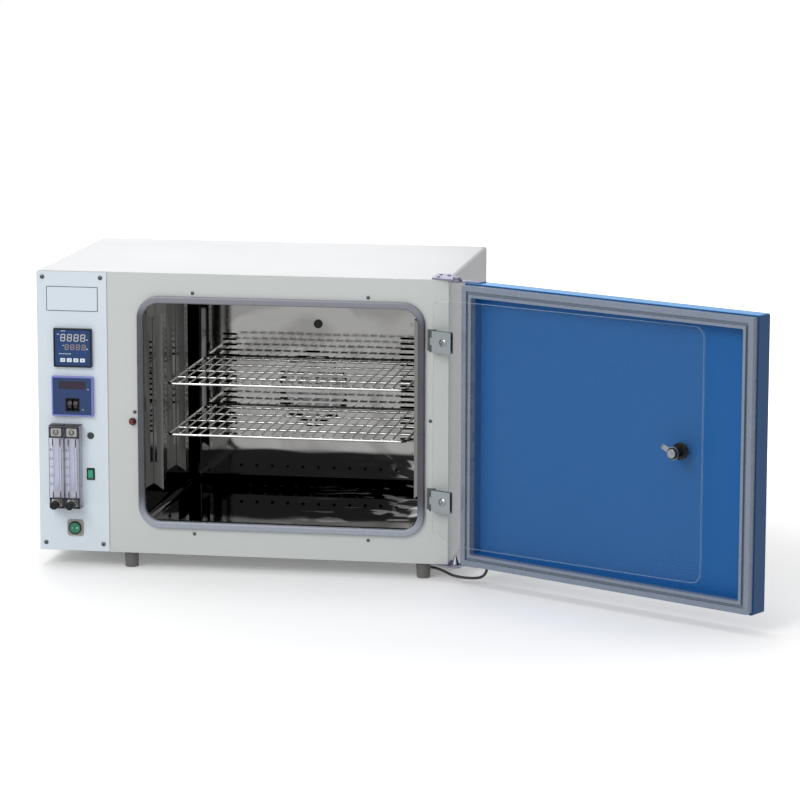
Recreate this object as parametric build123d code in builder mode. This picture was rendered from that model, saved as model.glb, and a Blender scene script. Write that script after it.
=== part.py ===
from build123d import *
import math
import os

# Benchtop carbon dioxide incubator, shown as it stands with both doors open.
# Millimetres, +Z up, front towards -Y. The origin is the middle of the bench area
# that the object covers with its doors open, at the height of the bench.
# Sketch coordinates below count from the cabinet's front lower left corner.

os.makedirs("parts", exist_ok=True)

# Cabinet
cabinet_width = 770.0
cabinet_height = 526.0
cabinet_depth = 484.0
cover_sheet = 1.2
cover_bend = 6.0
frame_sheet = 1.5
base_flange = 22.0
foot_height = 30.0
foot_radius = 14.0
foot_tip_radius = 12.5
foot_left_x = 170.0
foot_right_inset = 49.0
foot_front_y = 22.0
foot_rear_inset = 45.0

# Air vents of the casing
vent_height = 4.0
vent_pitch = 12.0
bay_vent_length = 84.0
motor_vent_length = 60.0
rear_vent_top_margin = 96.0
lower_vents_z = 250.0
base_vent_height = 5.0
base_vent_pitch = 14.0
base_vent_length = 70.0
base_vent_count = 9
upper_vent_count = 8
lower_vent_count = 6
motor_vent_count = 6

# Chamber
opening_left = 200.0
opening_right_margin = 53.0
opening_bottom = 59.0
opening_top_margin = 52.0
opening_corner = 32.0
liner_sheet = 1.2
liner_inset = 3.0
liner_corner = 16.0
liner_back_bend = 15.0
liner_back_space = 74.0
liner_flange = 7.0
duct_depth = 42.0
duct_side_gap = 24.0
duct_corner = 12.0
duct_return_height = 23.0
duct_screw_offset = 182.5
duct_screw_radius = 3.2
duct_screw_height = 1.4
duct_screw_zs = (134.0, 385.5)
floor_edge_height = 10.0
floor_lift = 0.3
floor_front_gap = 6.0
gasket_width = 13.0
gasket_overlap = 3.5
gasket_proud = 8.0
gasket_round = 3.5

# Air slots of the duct panel
slot_length = 28.5
slot_height = 4.0
slot_pitch = 10.35
slot_gap = 6.0
side_slot_count = 20
side_slot_offset = 175.0
side_slot_middle_z = 260.5
fan_slot_radius = 76.0
drain_hole_radius = 3.3
drain_hole_pitch = 30.7
drain_hole_count = 11
drain_hole_height = 15.0
port_height = 383.0
port_radius = 8.5
port_bead = 2.0
port_proud = 3.0
port_round = 1.2
port_reach = 12.0

# Shelves and their racks
shelf_side_gap = 11.5
shelf_front_y = 45.0
shelf_back_gap = 16.0
upper_shelf_z = 313.0
lower_shelf_z = 217.0
shelf_rail_radius = 2.5
shelf_rail_bend = 12.0
shelf_wire_radius = 1.6
shelf_wire_pitch = 19.0
shelf_cross_radius = 2.0
shelf_cross_count = 3
shelf_weld = 0.6
rack_width = 18.0
rack_depth = 24.0
rack_sheet = 1.2
rack_bottom = 108.0
rack_top_margin = 32.0
rack_slope = 12.0
rack_front_y = 66.0
rack_rear_gap = 118.0
rack_wall_gap = 0.3
rack_slot_width = 6.2
rack_slot_end = 40.0
rack_tooth_pitch = 10.5
rack_tooth_end = 12.0
rack_tooth_width = 8.0
rack_tooth_height = 5.0
shelf_clip_reach = 16.0
shelf_clip_width = 14.0
shelf_clip_sheet = 1.5
shelf_clip_height = 17.0
shelf_rest_gap = 0.3

# Fan, heater and motor behind the duct panel
fan_left_of_middle = 10.0
fan_z = 256.0
fan_radius = 60.0
fan_hub_radius = 14.0
fan_front_gap = 8.0
fan_thickness = 16.0
fan_blade_count = 8
fan_blade_sheet = 2.0
fan_shaft_radius = 4.0
shaft_hole_gap = 2.0
heater_ring_radius = 78.0
heater_tube_radius = 4.0
heater_open_angle = 50.0
motor_radius = 32.0
motor_gap = 14.0
motor_length = 42.0
motor_rim = 4.0
motor_arm_width = 8.0
motor_arm_height = 14.0
motor_arm_inset = 6.0
insulation_back_space = 44.0
insulation_gap = 2.0
running_gap = 0.06
seat_gap = 0.3

# Control bay and control panel
bay_width = 134.0
bay_window_margin = 11.0
partition_x = 152.0
partition_sheet = 1.2
wire_hole_radius = 10.0
wire_hole_behind = 50.0
panel_margin = 0.6
panel_top_margin = 2.0
panel_proud = 2.0
panel_corner = 3.0
nameplate_width = 98.0
nameplate_height = 46.0
nameplate_proud = 0.6
nameplate_x = 68.2
nameplate_z = 474.0
nameplate_corner = 2.0

# Temperature controller
thermo_size = 72.0
thermo_x = 69.5
thermo_z = 383.5
thermo_proud = 7.5
thermo_body = 66.0
thermo_depth = 75.0
bezel_rim = 2.5
bezel_corner = 1.5
face_corner = 1.0
face_recess = 1.5
key_width = 9.0
key_height = 7.0
key_pitch = 12.5
key_drop = 22.8
key_proud = 1.0
key_pocket = 3.0
key_travel = 0.8
key_corner = 0.8

# Gas controller
gas_width = 78.0
gas_height = 74.0
gas_x = 68.0
gas_z = 293.0
gas_proud = 8.0
gas_body_inset = 4.0
gas_depth = 62.0
gas_window_width = 51.0
gas_window_height = 15.0
gas_window_rise = 20.5
gas_window_recess = 1.0
digit_pocket_width = 25.0
digit_pocket_height = 24.0
digit_pocket_drop = 16.0
digit_pocket_depth = 25.0
digit_wheel_radius = 11.0
digit_wheel_width = 8.0
digit_wheel_pitch = 11.0
digit_wheel_proud = 0.6
digit_pin_radius = 1.5

# Flowmeters
meter_width = 28.4
meter_depth = 22.0
meter_bottom = 84.0
meter_height = 156.0
meter_left_x = 40.0
meter_pitch = 29.8
meter_bore_radius = 4.5
ferrule_radius = 7.6
ferrule_length = 16.0
ferrule_low_z = 100.5
ferrule_high_z = 200.0
ferrule_bore_radius = 2.2
meter_plate_width = 24.0
meter_plate_height = 19.0
meter_plate_sheet = 1.5
meter_plate_z = 227.5
meter_port_radius = 5.0
meter_port_reach = 24.0
meter_port_inside = 6.0
meter_plug_radius = 3.2
meter_plug_height = 1.4
meter_corner = 1.5
valve_z = 93.5
valve_nut_radius = 6.5
valve_nut_length = 5.0
valve_stem_radius = 2.5
valve_stem_length = 10.0
valve_stem_inside = 12.0
valve_knob_radius = 7.5
valve_knob_length = 16.0
valve_knob_chamfer = 1.0
valve_grip_count = 12
valve_grip_radius = 0.7
float_radius = 3.6
float_height = 9.0
float_tip_radius = 1.2
float_skirt = 5.4

# Switches and lamp
small_switch_x = 99.6
small_switch_z = 147.0
small_switch_width = 15.0
small_switch_height = 22.0
small_switch_proud = 2.0
small_switch_rim = 2.4
small_switch_depth = 15.0
small_switch_pocket = 7.5
small_switch_step = 1.5
power_switch_x = 68.9
power_switch_z = 44.5
power_plate_size = 30.0
power_plate_proud = 3.0
power_plate_corner = 5.0
power_ring_radius = 12.6
power_ring_proud = 1.5
power_pocket_radius = 11.0
power_pocket_depth = 10.0
power_body_depth = 20.0
rocker_gap = 0.35
rocker_thickness = 5.0
rocker_tilt = 7.0
rocker_rise = 1.2
trunnion_radius = 1.2
trunnion_length = 1.1
lamp_x = 100.0
lamp_z = 219.0
lamp_radius = 5.8
lamp_proud = 2.2
lamp_round = 1.2
lamp_stem_radius = 4.5
lamp_stem_length = 20.0
door_switch_x = 180.0
door_switch_z = 248.0
door_switch_ring_radius = 7.0
door_switch_ring_proud = 3.0
door_switch_chamfer = 0.8
door_switch_cap = 2.0
door_switch_barrel_radius = 5.8
door_switch_barrel_length = 24.0
plunger_radius = 4.4
plunger_short_of_glass = 0.5
plunger_length = 24.0

# Screws
panel_screw_radius = 4.2
panel_screw_height = 2.5
panel_screw_inset_x = 11.5
panel_screw_inset_top = 10.0
panel_screw_inset_bottom = 14.5
frame_screw_radius = 3.4
frame_screw_height = 1.8
frame_screw_left = 295.0
frame_screw_right_inset = 148.5
frame_screw_reach = 16.0
frame_screw_drop = 19.0
side_screw_z = 266.0
side_screw_left = 184.0
side_screw_right_inset = 33.5
rear_screw_inset = 12.0

# Outer door, hinged beyond the cabinet's right side
door_pivot_out = 15.0
door_pivot_front = 8.0
door_opening = 150.5
door_free_edge_x = 144.0
door_lip_bottom = 6.0
door_lip_top_margin = 6.0
door_lip_inset = 2.0
door_close_gap = 0.3
door_shell_reach = 2.5
door_shell_rise = 3.0
door_shell_depth = 34.0
door_shell_corner = 4.0
door_sheet = 1.2
door_gasket_depth = 13.0
door_gasket_width = 21.0
door_gasket_corner = 5.0
door_groove_width = 5.5
door_groove_depth = 5.0
door_groove_inset = 10.0
door_pan_depth = 17.0
door_pan_sheet = 1.0
door_pan_rim = 8.0
door_pan_corner = 3.0
door_pan_gap = 0.2
handle_inboard = 90.0
handle_span = 128.0
handle_reach = 38.0
handle_radius = 6.0
handle_bend = 14.0

# Door hinges
hinge_plate_sheet = 3.0
hinge_plate_width = 32.0
hinge_plate_front = 2.0
hinge_plate_back = 60.0
hinge_ear_radius = 10.0
hinge_arm_sheet = 2.6
hinge_arm_length = 44.0
hinge_arm_front = 8.0
hinge_arm_back = 30.0
hinge_pin_radius = 4.0
hinge_pin_head_radius = 7.0
hinge_pin_head = 4.0
hinge_cone_height = 15.0
hinge_cone_tip = 2.0
hinge_plate_chamfer = 4.0

# Inner glass door
glass_thickness = 5.0
glass_stand_off = 12.3
glass_pivot_inset = 30.0
glass_opening = 153.5
glass_near = 4.2
glass_free_edge_x = 167.0
glass_bottom = 43.0
glass_top_margin = 33.0
glass_corner = 20.0
glass_near_corner = 16.0
glass_cut_width = 32.0
glass_cut_height = 21.0
clip_height = 39.0
clip_length = 45.0
clip_sheet = 1.5
clip_pad = 0.3
clip_top_margin = 110.5
clip_lower_z = 122.0
clip_barrel_radius = 3.4
clip_barrel_share = 13.0
clip_pin_radius = 1.75
clip_bolt_along = 28.5
clip_bolt_radius = 3.0
clip_bolt_head_radius = 7.0
clip_bolt_head = 2.2
leaf_width = 16.0
leaf_offset = 1.5
leaf_sheet = 1.5
leaf_web = 2.2

# Latch of the glass door
latch_inset = 49.5
latch_z = 271.0
latch_axle_radius = 5.0
latch_knob_radius = 15.0
latch_knob_height = 8.0
latch_boss_radius = 9.5
latch_washer_radius = 10.5
latch_washer = 2.0
latch_cam_radius = 11.5
latch_cam_reach = 24.0
latch_cam_width = 9.0
latch_cam_sheet = 1.2
latch_cam_behind = 1.0
latch_cam_angle = 153.0
latch_cam_tip = 3.0
latch_screw_radius = 8.0
latch_screw_head = 3.0
latch_grip_radius = 1.4
latch_grip_count = 10
latch_seat_step = 1.0
keep_below = 6.0
keep_above = 22.0
keep_depth = 6.0
keep_reach = 16.0

# Rear fittings and the control bay's contents
gas_inlet_x = 60.0
gas_inlet_z = 150.0
gas_inlet_radius = 4.0
gas_inlet_bore = 2.0
gas_inlet_reach = 24.0
gas_inlet_nut_radius = 9.0
gas_inlet_nut = 6.0
gas_inlet_inside = 14.0
gland_x = 60.0
gland_z = 60.0
gland_radius = 11.0
gland_bore = 4.0
gland_reach = 16.0
gland_stem_radius = 8.0
gland_inside = 12.0
gland_nut = 4.0
gland_wall = 4.0
valve_block_x = 60.0
valve_block_y = 300.0
valve_block_size = 40.0
valve_block_height = 22.0
valve_coil_radius = 14.0
valve_coil_height = 38.0
valve_nub_radius = 5.0
valve_nub_height = 6.0
valve_tail_radius = 4.0
valve_tail_length = 68.0
board_z = 300.0
board_y = 240.0
board_width = 150.0
board_height = 110.0
board_sheet = 1.6
board_standoff = 8.0
board_post_inset = 6.0
board_post_radius = 3.0
board_relay_pitch = 26.0
board_relay_count = 5
board_relay_width = 18.0
board_relay_height = 24.0
board_relay_proud = 16.0
board_relay_rise = 32.0
board_transformer_width = 58.0
board_transformer_height = 46.0
board_transformer_proud = 34.0
board_transformer_drop = 20.0

# Heater lead, from under the cabinet to the door's underside
lead_radius = 2.5
lead_start_inset = 75.0
lead_start_y = 100.0
lead_along = 56.0
lead_outward = 22.0
lead_bend_run = 10.0
lead_end_run = 9.4
lead_free_run = 20.0

# Places worked out from the sizes above
cabinet_mid_x = cabinet_width / 2
foot_right_x = cabinet_width - foot_right_inset
opening_right = cabinet_width - opening_right_margin
opening_top = cabinet_height - opening_top_margin
opening_width = opening_right - opening_left
opening_height = opening_top - opening_bottom
chamber_x = (opening_left + opening_right) / 2
chamber_z = (opening_bottom + opening_top) / 2
liner_width = opening_width - 2 * liner_inset
liner_height = opening_height - 2 * liner_inset
liner_depth = cabinet_depth - liner_back_space
duct_panel_y = liner_depth - duct_depth
insulation_back = cabinet_depth - insulation_back_space
fan_x = chamber_x - fan_left_of_middle
liner_left = chamber_x - liner_width / 2
liner_right = chamber_x + liner_width / 2
liner_floor = chamber_z - liner_height / 2
gasket_inner_width = opening_width - 2 * gasket_overlap
gasket_inner_height = opening_height - 2 * gasket_overlap
gasket_outer_width = gasket_inner_width + 2 * gasket_width
gasket_outer_height = gasket_inner_height + 2 * gasket_width
gasket_inner_corner = opening_corner - gasket_overlap
panel_front = -panel_proud
shelf_left = liner_left + rack_wall_gap + rack_width + shelf_side_gap
shelf_right = liner_right - rack_wall_gap - rack_width - shelf_side_gap
shelf_back_y = duct_panel_y - shelf_back_gap
rack_top = opening_top - rack_top_margin
rack_rear_y = duct_panel_y - rack_rear_gap
meter_xs = [meter_left_x, meter_left_x + meter_pitch]
meter_mid_y = panel_front - meter_depth / 2
meter_front = panel_front - meter_depth

door_pivot_x = cabinet_width + door_pivot_out
door_pivot_y = -door_pivot_front
door_lip_start = door_pivot_out + door_lip_inset
door_lip_width = door_pivot_x - door_lip_start - door_free_edge_x
door_lip_top = cabinet_height - door_lip_top_margin
door_lip_plane = door_pivot_front - door_close_gap
door_shell_front = door_lip_plane - door_gasket_depth
door_shell_back = door_shell_front - door_shell_depth
door_pan_floor = door_shell_front - door_pan_depth
door_shell_start = door_lip_start - door_shell_reach
door_shell_width = door_lip_width + 2 * door_shell_reach
door_shell_bottom = door_lip_bottom - door_shell_rise
door_shell_top = door_lip_top + door_shell_rise
door_shell_height = door_shell_top - door_shell_bottom
door_mid_along = door_shell_start + door_shell_width / 2
door_mid_z = (door_shell_bottom + door_shell_top) / 2
door_inner_width = door_lip_width - 2 * door_gasket_width
door_inner_height = door_lip_top - door_lip_bottom - 2 * door_gasket_width
glass_pivot_x = cabinet_width - glass_pivot_inset
glass_pivot_y = -(glass_stand_off + glass_thickness / 2)
glass_far = glass_pivot_x - glass_free_edge_x
glass_top = cabinet_height - glass_top_margin
clip_upper_z = cabinet_height - clip_top_margin
latch_along = glass_far - latch_inset
hinge_plate_left = cabinet_width - hinge_plate_width
keep_left = liner_left + liner_sheet - keep_reach
keep_z = latch_z + (keep_above - keep_below) / 2
lead_start_x = cabinet_width - lead_start_inset

# The origin is put in the middle of the covered bench area
door_turn = math.radians(180 - door_opening)
reach_right = (
    door_pivot_x
    + (door_shell_start + door_shell_width) * math.cos(door_turn)
    - door_shell_back * math.sin(door_turn)
)
reach_front = (
    door_pivot_y
    - (door_lip_start + door_lip_width) * math.sin(door_turn)
    - door_lip_plane * math.cos(door_turn)
)
reach_back = cabinet_depth + gas_inlet_reach
datum_x = -reach_right / 2
datum_y = -(reach_front + reach_back) / 2
datum_z = foot_height


def facing(y):
    """The upright plane at this depth, seen from the front: x to the right, y up, normal to the front."""
    return Plane(origin=(datum_x, datum_y + y, datum_z), x_dir=(1, 0, 0), z_dir=(0, -1, 0))


def level(z):
    """The flat plane at this height over the cabinet's underside: x to the right, y to the back."""
    return Plane(origin=(datum_x, datum_y, datum_z + z))


def sideways(x):
    """The upright plane at this distance from the left side: x to the back, y up, normal to the right."""
    return Plane(origin=(datum_x + x, datum_y, datum_z), x_dir=(0, 1, 0), z_dir=(1, 0, 0))


def swung(pivot_x, pivot_y, opening, offset):
    """The plane of an open door, this far inside its pivot: x away from the hinge, y up."""
    turn = math.radians(180 - opening)
    inward = Vector(-math.sin(turn), -math.cos(turn), 0)
    corner = Vector(datum_x + pivot_x, datum_y + pivot_y, datum_z) + inward * offset
    return Plane(origin=corner, x_dir=(math.cos(turn), -math.sin(turn), 0), z_dir=inward)


def door(offset):
    """The outer door's plane at this offset from its pivot, towards the side that meets the cabinet."""
    return swung(door_pivot_x, door_pivot_y, door_opening, offset)


def glass(offset):
    """The glass door's plane at this offset from its pivot, towards the side that meets the cabinet."""
    return swung(glass_pivot_x, glass_pivot_y, glass_opening, offset)


def flat(hinged_plane, z):
    """The level plane at a hinge's foot: x along the door, y to its outer side."""
    origin = hinged_plane.origin + Vector(0, 0, z)
    return Plane(origin=origin, x_dir=hinged_plane.x_dir, z_dir=(0, 0, 1))


def rocked(x, y, z, tilt):
    """The plane through this point that faces the front, tipped about the level line across it."""
    middle = Plane(origin=facing(y).origin + Vector(x, 0, z), x_dir=(1, 0, 0), z_dir=(0, -1, 0))
    return middle.rotated((tilt, 0, 0))


def plate(plane, x, y, width, height, thickness, corner=0.0, mode=Mode.ADD):
    """Adds or cuts a rectangular plate centred on x, y, with rounded corners where they are asked for."""
    with BuildSketch(plane) as outline:
        with Locations((x, y)):
            if corner > 0:
                RectangleRounded(width, height, corner)
            else:
                Rectangle(width, height)
    extrude(outline.sketch, amount=thickness, mode=mode)


def disc(plane, x, y, radius, thickness, mode=Mode.ADD):
    """Adds or cuts a round disc, pin or hole centred on x, y."""
    with BuildSketch(plane) as outline:
        with Locations((x, y)):
            Circle(radius)
    extrude(outline.sketch, amount=thickness, mode=mode)


def front_edges(part, depth):
    """The edges of a part that lie in the plane facing the front at this depth."""
    return part.edges().filter_by_position(Axis.Y, datum_y + depth - 0.01, datum_y + depth + 0.01)


def tub(width, height, corner, bend, front, back, mode=Mode.ADD):
    """Adds or cuts a block round the chamber's middle, with rounded long edges and a rounded back."""
    with BuildPart(mode=Mode.PRIVATE) as block:
        plate(facing(back), chamber_x, chamber_z, width, height, back - front, corner)
        fillet(front_edges(block, back), bend)
    add(block.part, mode=mode)


def latch_keep(front):
    """Cuts the slot beside the chamber's mouth that the turned latch cam reaches into."""
    plate(sideways(keep_left), front + keep_depth / 2, keep_z, keep_depth,
          keep_above + keep_below, keep_reach, mode=Mode.SUBTRACT)


# Cabinet casing

with BuildPart() as outer_cover:
    with BuildSketch(facing(frame_sheet)):
        with BuildLine():
            inner_right = cabinet_width - cover_sheet
            inner_top = cabinet_height - cover_sheet
            FilletPolyline(
                (0, 0),
                (0, cabinet_height),
                (cabinet_width, cabinet_height),
                (cabinet_width, 0),
                radius=cover_bend,
            )
            Line((cabinet_width, 0), (inner_right, 0))
            FilletPolyline(
                (inner_right, 0),
                (inner_right, inner_top),
                (cover_sheet, inner_top),
                (cover_sheet, 0),
                radius=cover_bend - cover_sheet,
            )
            Line((cover_sheet, 0), (0, 0))
        make_face()
    extrude(amount=-(cabinet_depth - frame_sheet))
outer_cover.part.label = "outer_cover"
export_step(outer_cover.part, "parts/outer_cover.step")

with BuildPart() as front_frame:
    with BuildSketch(facing(frame_sheet)):
        with BuildLine():
            FilletPolyline(
                (0, 0),
                (0, cabinet_height),
                (cabinet_width, cabinet_height),
                (cabinet_width, 0),
                radius=cover_bend,
            )
            Line((cabinet_width, 0), (0, 0))
        make_face()
        with Locations((chamber_x, chamber_z)):
            RectangleRounded(opening_width, opening_height, opening_corner, mode=Mode.SUBTRACT)
        with Locations((bay_width / 2, cabinet_height / 2)):
            Rectangle(
                bay_width - 2 * bay_window_margin,
                cabinet_height - 4 * bay_window_margin,
                mode=Mode.SUBTRACT,
            )
        with Locations((door_switch_x, door_switch_z)):
            Circle(door_switch_barrel_radius + seat_gap, mode=Mode.SUBTRACT)
    extrude(amount=frame_sheet)
    fillet(front_edges(front_frame, 0).filter_by_position(
        Axis.Z, datum_z + cabinet_height - 0.01, datum_z + cabinet_height + 0.01), frame_sheet / 2)
front_frame.part.label = "front_frame"
export_step(front_frame.part, "parts/front_frame.step")

with BuildPart() as base_plate:
    base_width = cabinet_width - 2 * cover_sheet
    with BuildSketch(facing(frame_sheet)):
        with Locations((cabinet_mid_x, frame_sheet / 2)):
            Rectangle(base_width, frame_sheet)
        with Locations((cover_sheet, 0), (cabinet_width - 2 * cover_sheet, 0)):
            Rectangle(cover_sheet, base_flange, align=(Align.MIN, Align.MIN))
    extrude(amount=-(cabinet_depth - 2 * frame_sheet))
    disc(level(0), lead_start_x, lead_start_y, lead_radius + seat_gap, frame_sheet,
         mode=Mode.SUBTRACT)
    with BuildSketch(level(0)):
        with Locations((bay_width / 2, cabinet_depth / 2)):
            with GridLocations(1, base_vent_pitch, 1, base_vent_count):
                SlotOverall(base_vent_length, base_vent_height)
    extrude(amount=frame_sheet, mode=Mode.SUBTRACT)
base_plate.part.label = "base_plate"
export_step(base_plate.part, "parts/base_plate.step")

with BuildPart() as rear_panel:
    rear_height = cabinet_height - cover_sheet
    upper_vents_z = cabinet_height - rear_vent_top_margin
    plate(facing(cabinet_depth), cabinet_mid_x, rear_height / 2,
          base_width, rear_height, frame_sheet, cover_bend)
    with BuildSketch(facing(cabinet_depth)):
        vent_groups = ((upper_vents_z, upper_vent_count), (lower_vents_z, lower_vent_count))
        for vents_z, vent_rows in vent_groups:
            with Locations((bay_width / 2, vents_z)):
                with GridLocations(1, vent_pitch, 1, vent_rows):
                    SlotOverall(bay_vent_length, vent_height)
        with Locations((fan_x, fan_z)):
            with GridLocations(1, vent_pitch, 1, motor_vent_count):
                SlotOverall(motor_vent_length, vent_height)
        with Locations((gas_inlet_x, gas_inlet_z)):
            Circle(gas_inlet_radius + seat_gap)
        with Locations((gland_x, gland_z)):
            Circle(gland_stem_radius + seat_gap)
    extrude(amount=frame_sheet, mode=Mode.SUBTRACT)
rear_panel.part.label = "rear_panel"
export_step(rear_panel.part, "parts/rear_panel.step")

with BuildPart() as partition_wall:
    wall_height = cabinet_height - cover_sheet - frame_sheet
    plate(sideways(partition_x), cabinet_depth / 2, frame_sheet + wall_height / 2,
          cabinet_depth - 2 * frame_sheet, wall_height, partition_sheet)
    disc(sideways(partition_x), duct_panel_y + wire_hole_behind, fan_z, wire_hole_radius,
         partition_sheet, mode=Mode.SUBTRACT)
partition_wall.part.label = "partition_wall"
export_step(partition_wall.part, "parts/partition_wall.step")

with BuildPart() as feet:
    foot_spots = [
        (x, y)
        for x in (foot_left_x, foot_right_x)
        for y in (foot_front_y, cabinet_depth - foot_rear_inset)
    ]
    with BuildSketch(level(0)):
        with Locations(*foot_spots):
            Circle(foot_radius)
    with BuildSketch(level(-foot_height)):
        with Locations(*foot_spots):
            Circle(foot_tip_radius)
    foot_rings = feet.pending_faces
    foot_tops = [face for face in foot_rings if face.center().Z > datum_z - foot_height / 2]
    foot_soles = [face for face in foot_rings if face.center().Z < datum_z - foot_height / 2]
    feet.pending_faces = []
    for top, sole in zip(foot_tops, foot_soles):
        loft([top, sole])
feet.part.label = "feet"
export_step(feet.part, "parts/feet.step")

# Chamber

with BuildPart() as chamber_liner:
    tub(liner_width + 2 * liner_sheet, liner_height + 2 * liner_sheet,
        liner_corner + liner_sheet, liner_back_bend + liner_sheet, frame_sheet, liner_depth)
    plate(facing(frame_sheet + liner_sheet), chamber_x, chamber_z,
          liner_width + 2 * liner_flange, liner_height + 2 * liner_flange,
          liner_sheet, liner_corner + liner_flange)
    tub(liner_width, liner_height, liner_corner, liner_back_bend, 0,
        liner_depth - liner_sheet, mode=Mode.SUBTRACT)
    disc(facing(liner_depth), fan_x, fan_z, fan_shaft_radius + shaft_hole_gap, liner_sheet,
         mode=Mode.SUBTRACT)
    latch_keep(frame_sheet)
chamber_liner.part.label = "chamber_liner"
export_step(chamber_liner.part, "parts/chamber_liner.step")

with BuildPart() as insulation:
    wool_left = partition_x + partition_sheet + insulation_gap
    wool_right = cabinet_width - 2 * cover_sheet - insulation_gap
    wool_bottom = frame_sheet + insulation_gap
    wool_top = cabinet_height - cover_sheet - insulation_gap
    wool_front = frame_sheet + liner_sheet + seat_gap
    plate(facing(insulation_back), (wool_left + wool_right) / 2, (wool_bottom + wool_top) / 2,
          wool_right - wool_left, wool_top - wool_bottom, insulation_back - wool_front)
    plate(facing(liner_depth + seat_gap), chamber_x, chamber_z,
          liner_width + 2 * liner_sheet + 2 * seat_gap,
          liner_height + 2 * liner_sheet + 2 * seat_gap,
          liner_depth, liner_corner + liner_sheet, mode=Mode.SUBTRACT)
    disc(facing(insulation_back), fan_x, fan_z, motor_radius + insulation_gap,
         insulation_back - liner_depth, mode=Mode.SUBTRACT)
    disc(facing(door_switch_barrel_length + insulation_gap), door_switch_x, door_switch_z,
         door_switch_barrel_radius + insulation_gap, door_switch_barrel_length,
         mode=Mode.SUBTRACT)
    latch_keep(wool_front)
insulation.part.label = "insulation"
export_step(insulation.part, "parts/insulation.step")

with BuildPart() as chamber_gasket:
    with BuildSketch(facing(0)):
        with Locations((chamber_x, chamber_z)):
            RectangleRounded(gasket_outer_width, gasket_outer_height,
                             gasket_inner_corner + gasket_width)
            RectangleRounded(gasket_inner_width, gasket_inner_height,
                             gasket_inner_corner, mode=Mode.SUBTRACT)
    extrude(amount=gasket_proud)
    fillet(front_edges(chamber_gasket, -gasket_proud), gasket_round)
    lip_width = opening_width - 2 * seat_gap
    lip_height = opening_height - 2 * seat_gap
    with BuildSketch(facing(0)):
        with Locations((chamber_x, chamber_z)):
            RectangleRounded(lip_width, lip_height, opening_corner - seat_gap)
            RectangleRounded(gasket_inner_width, gasket_inner_height,
                             gasket_inner_corner, mode=Mode.SUBTRACT)
    extrude(amount=seat_gap - frame_sheet)
chamber_gasket.part.label = "chamber_gasket"
export_step(chamber_gasket.part, "parts/chamber_gasket.step")

with BuildPart() as duct_panel:
    duct_width = liner_width - 2 * duct_side_gap
    duct_height = liner_height - 2 * seat_gap
    duct_bottom = liner_floor + duct_return_height
    duct_back = liner_depth - liner_sheet
    plate(facing(duct_panel_y + liner_sheet), chamber_x, chamber_z, duct_width, duct_height,
          liner_sheet, duct_corner)
    plate(facing(duct_panel_y + liner_sheet), chamber_x, duct_bottom / 2,
          duct_width, duct_bottom, liner_sheet, mode=Mode.SUBTRACT)
    flange_height = rack_top - rack_bottom
    flange_z = (rack_top + rack_bottom) / 2
    for flange_x in (chamber_x - duct_width / 2, chamber_x + duct_width / 2 - liner_sheet):
        plate(sideways(flange_x), (duct_panel_y + duct_back) / 2, flange_z,
              duct_back - duct_panel_y, flange_height, liner_sheet)
    with BuildSketch(facing(duct_panel_y + liner_sheet)):
        for column_x in (chamber_x - side_slot_offset, chamber_x + side_slot_offset):
            with Locations((column_x, side_slot_middle_z)):
                with GridLocations(1, slot_pitch, 1, side_slot_count):
                    SlotOverall(slot_length, slot_height)
        fan_rows = int(fan_slot_radius / slot_pitch)
        for row in range(-fan_rows, fan_rows + 1):
            row_z = row * slot_pitch
            chord = 2 * math.sqrt(fan_slot_radius**2 - row_z**2)
            row_slots = max(1, int((chord + slot_gap) / (slot_length + slot_gap)))
            with Locations((fan_x, fan_z + row_z)):
                with GridLocations(slot_length + slot_gap, 1, row_slots, 1):
                    SlotOverall(slot_length, slot_height)
        with Locations((chamber_x, duct_bottom + drain_hole_height)):
            with GridLocations(drain_hole_pitch, 1, drain_hole_count, 1):
                Circle(drain_hole_radius)
        with Locations((chamber_x, port_height)):
            Circle(port_radius - port_bead)
    extrude(amount=liner_sheet, mode=Mode.SUBTRACT)
    for screw_x in (chamber_x - duct_screw_offset, chamber_x + duct_screw_offset):
        for screw_z in duct_screw_zs:
            disc(facing(duct_panel_y), screw_x, screw_z, duct_screw_radius, duct_screw_height)
    fillet(front_edges(duct_panel, duct_panel_y - duct_screw_height), duct_screw_height / 2)
duct_panel.part.label = "duct_panel"
export_step(duct_panel.part, "parts/duct_panel.step")

with BuildPart() as floor_plate:
    tray_gap = 2 * seat_gap
    tray_back = liner_depth - liner_sheet - seat_gap
    tray_top = liner_floor + floor_edge_height
    tub(liner_width - tray_gap, liner_height - 2 * floor_lift, liner_corner, liner_back_bend,
        frame_sheet + floor_front_gap, tray_back)
    tub(liner_width - tray_gap - 2 * liner_sheet, liner_height - 2 * floor_lift - 2 * liner_sheet,
        liner_corner - liner_sheet, liner_back_bend - liner_sheet, 0, tray_back - liner_sheet,
        mode=Mode.SUBTRACT)
    plate(level(tray_top), chamber_x, liner_depth / 2, liner_width, liner_depth, liner_height,
          mode=Mode.SUBTRACT)
floor_plate.part.label = "floor_plate"
export_step(floor_plate.part, "parts/floor_plate.step")


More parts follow.
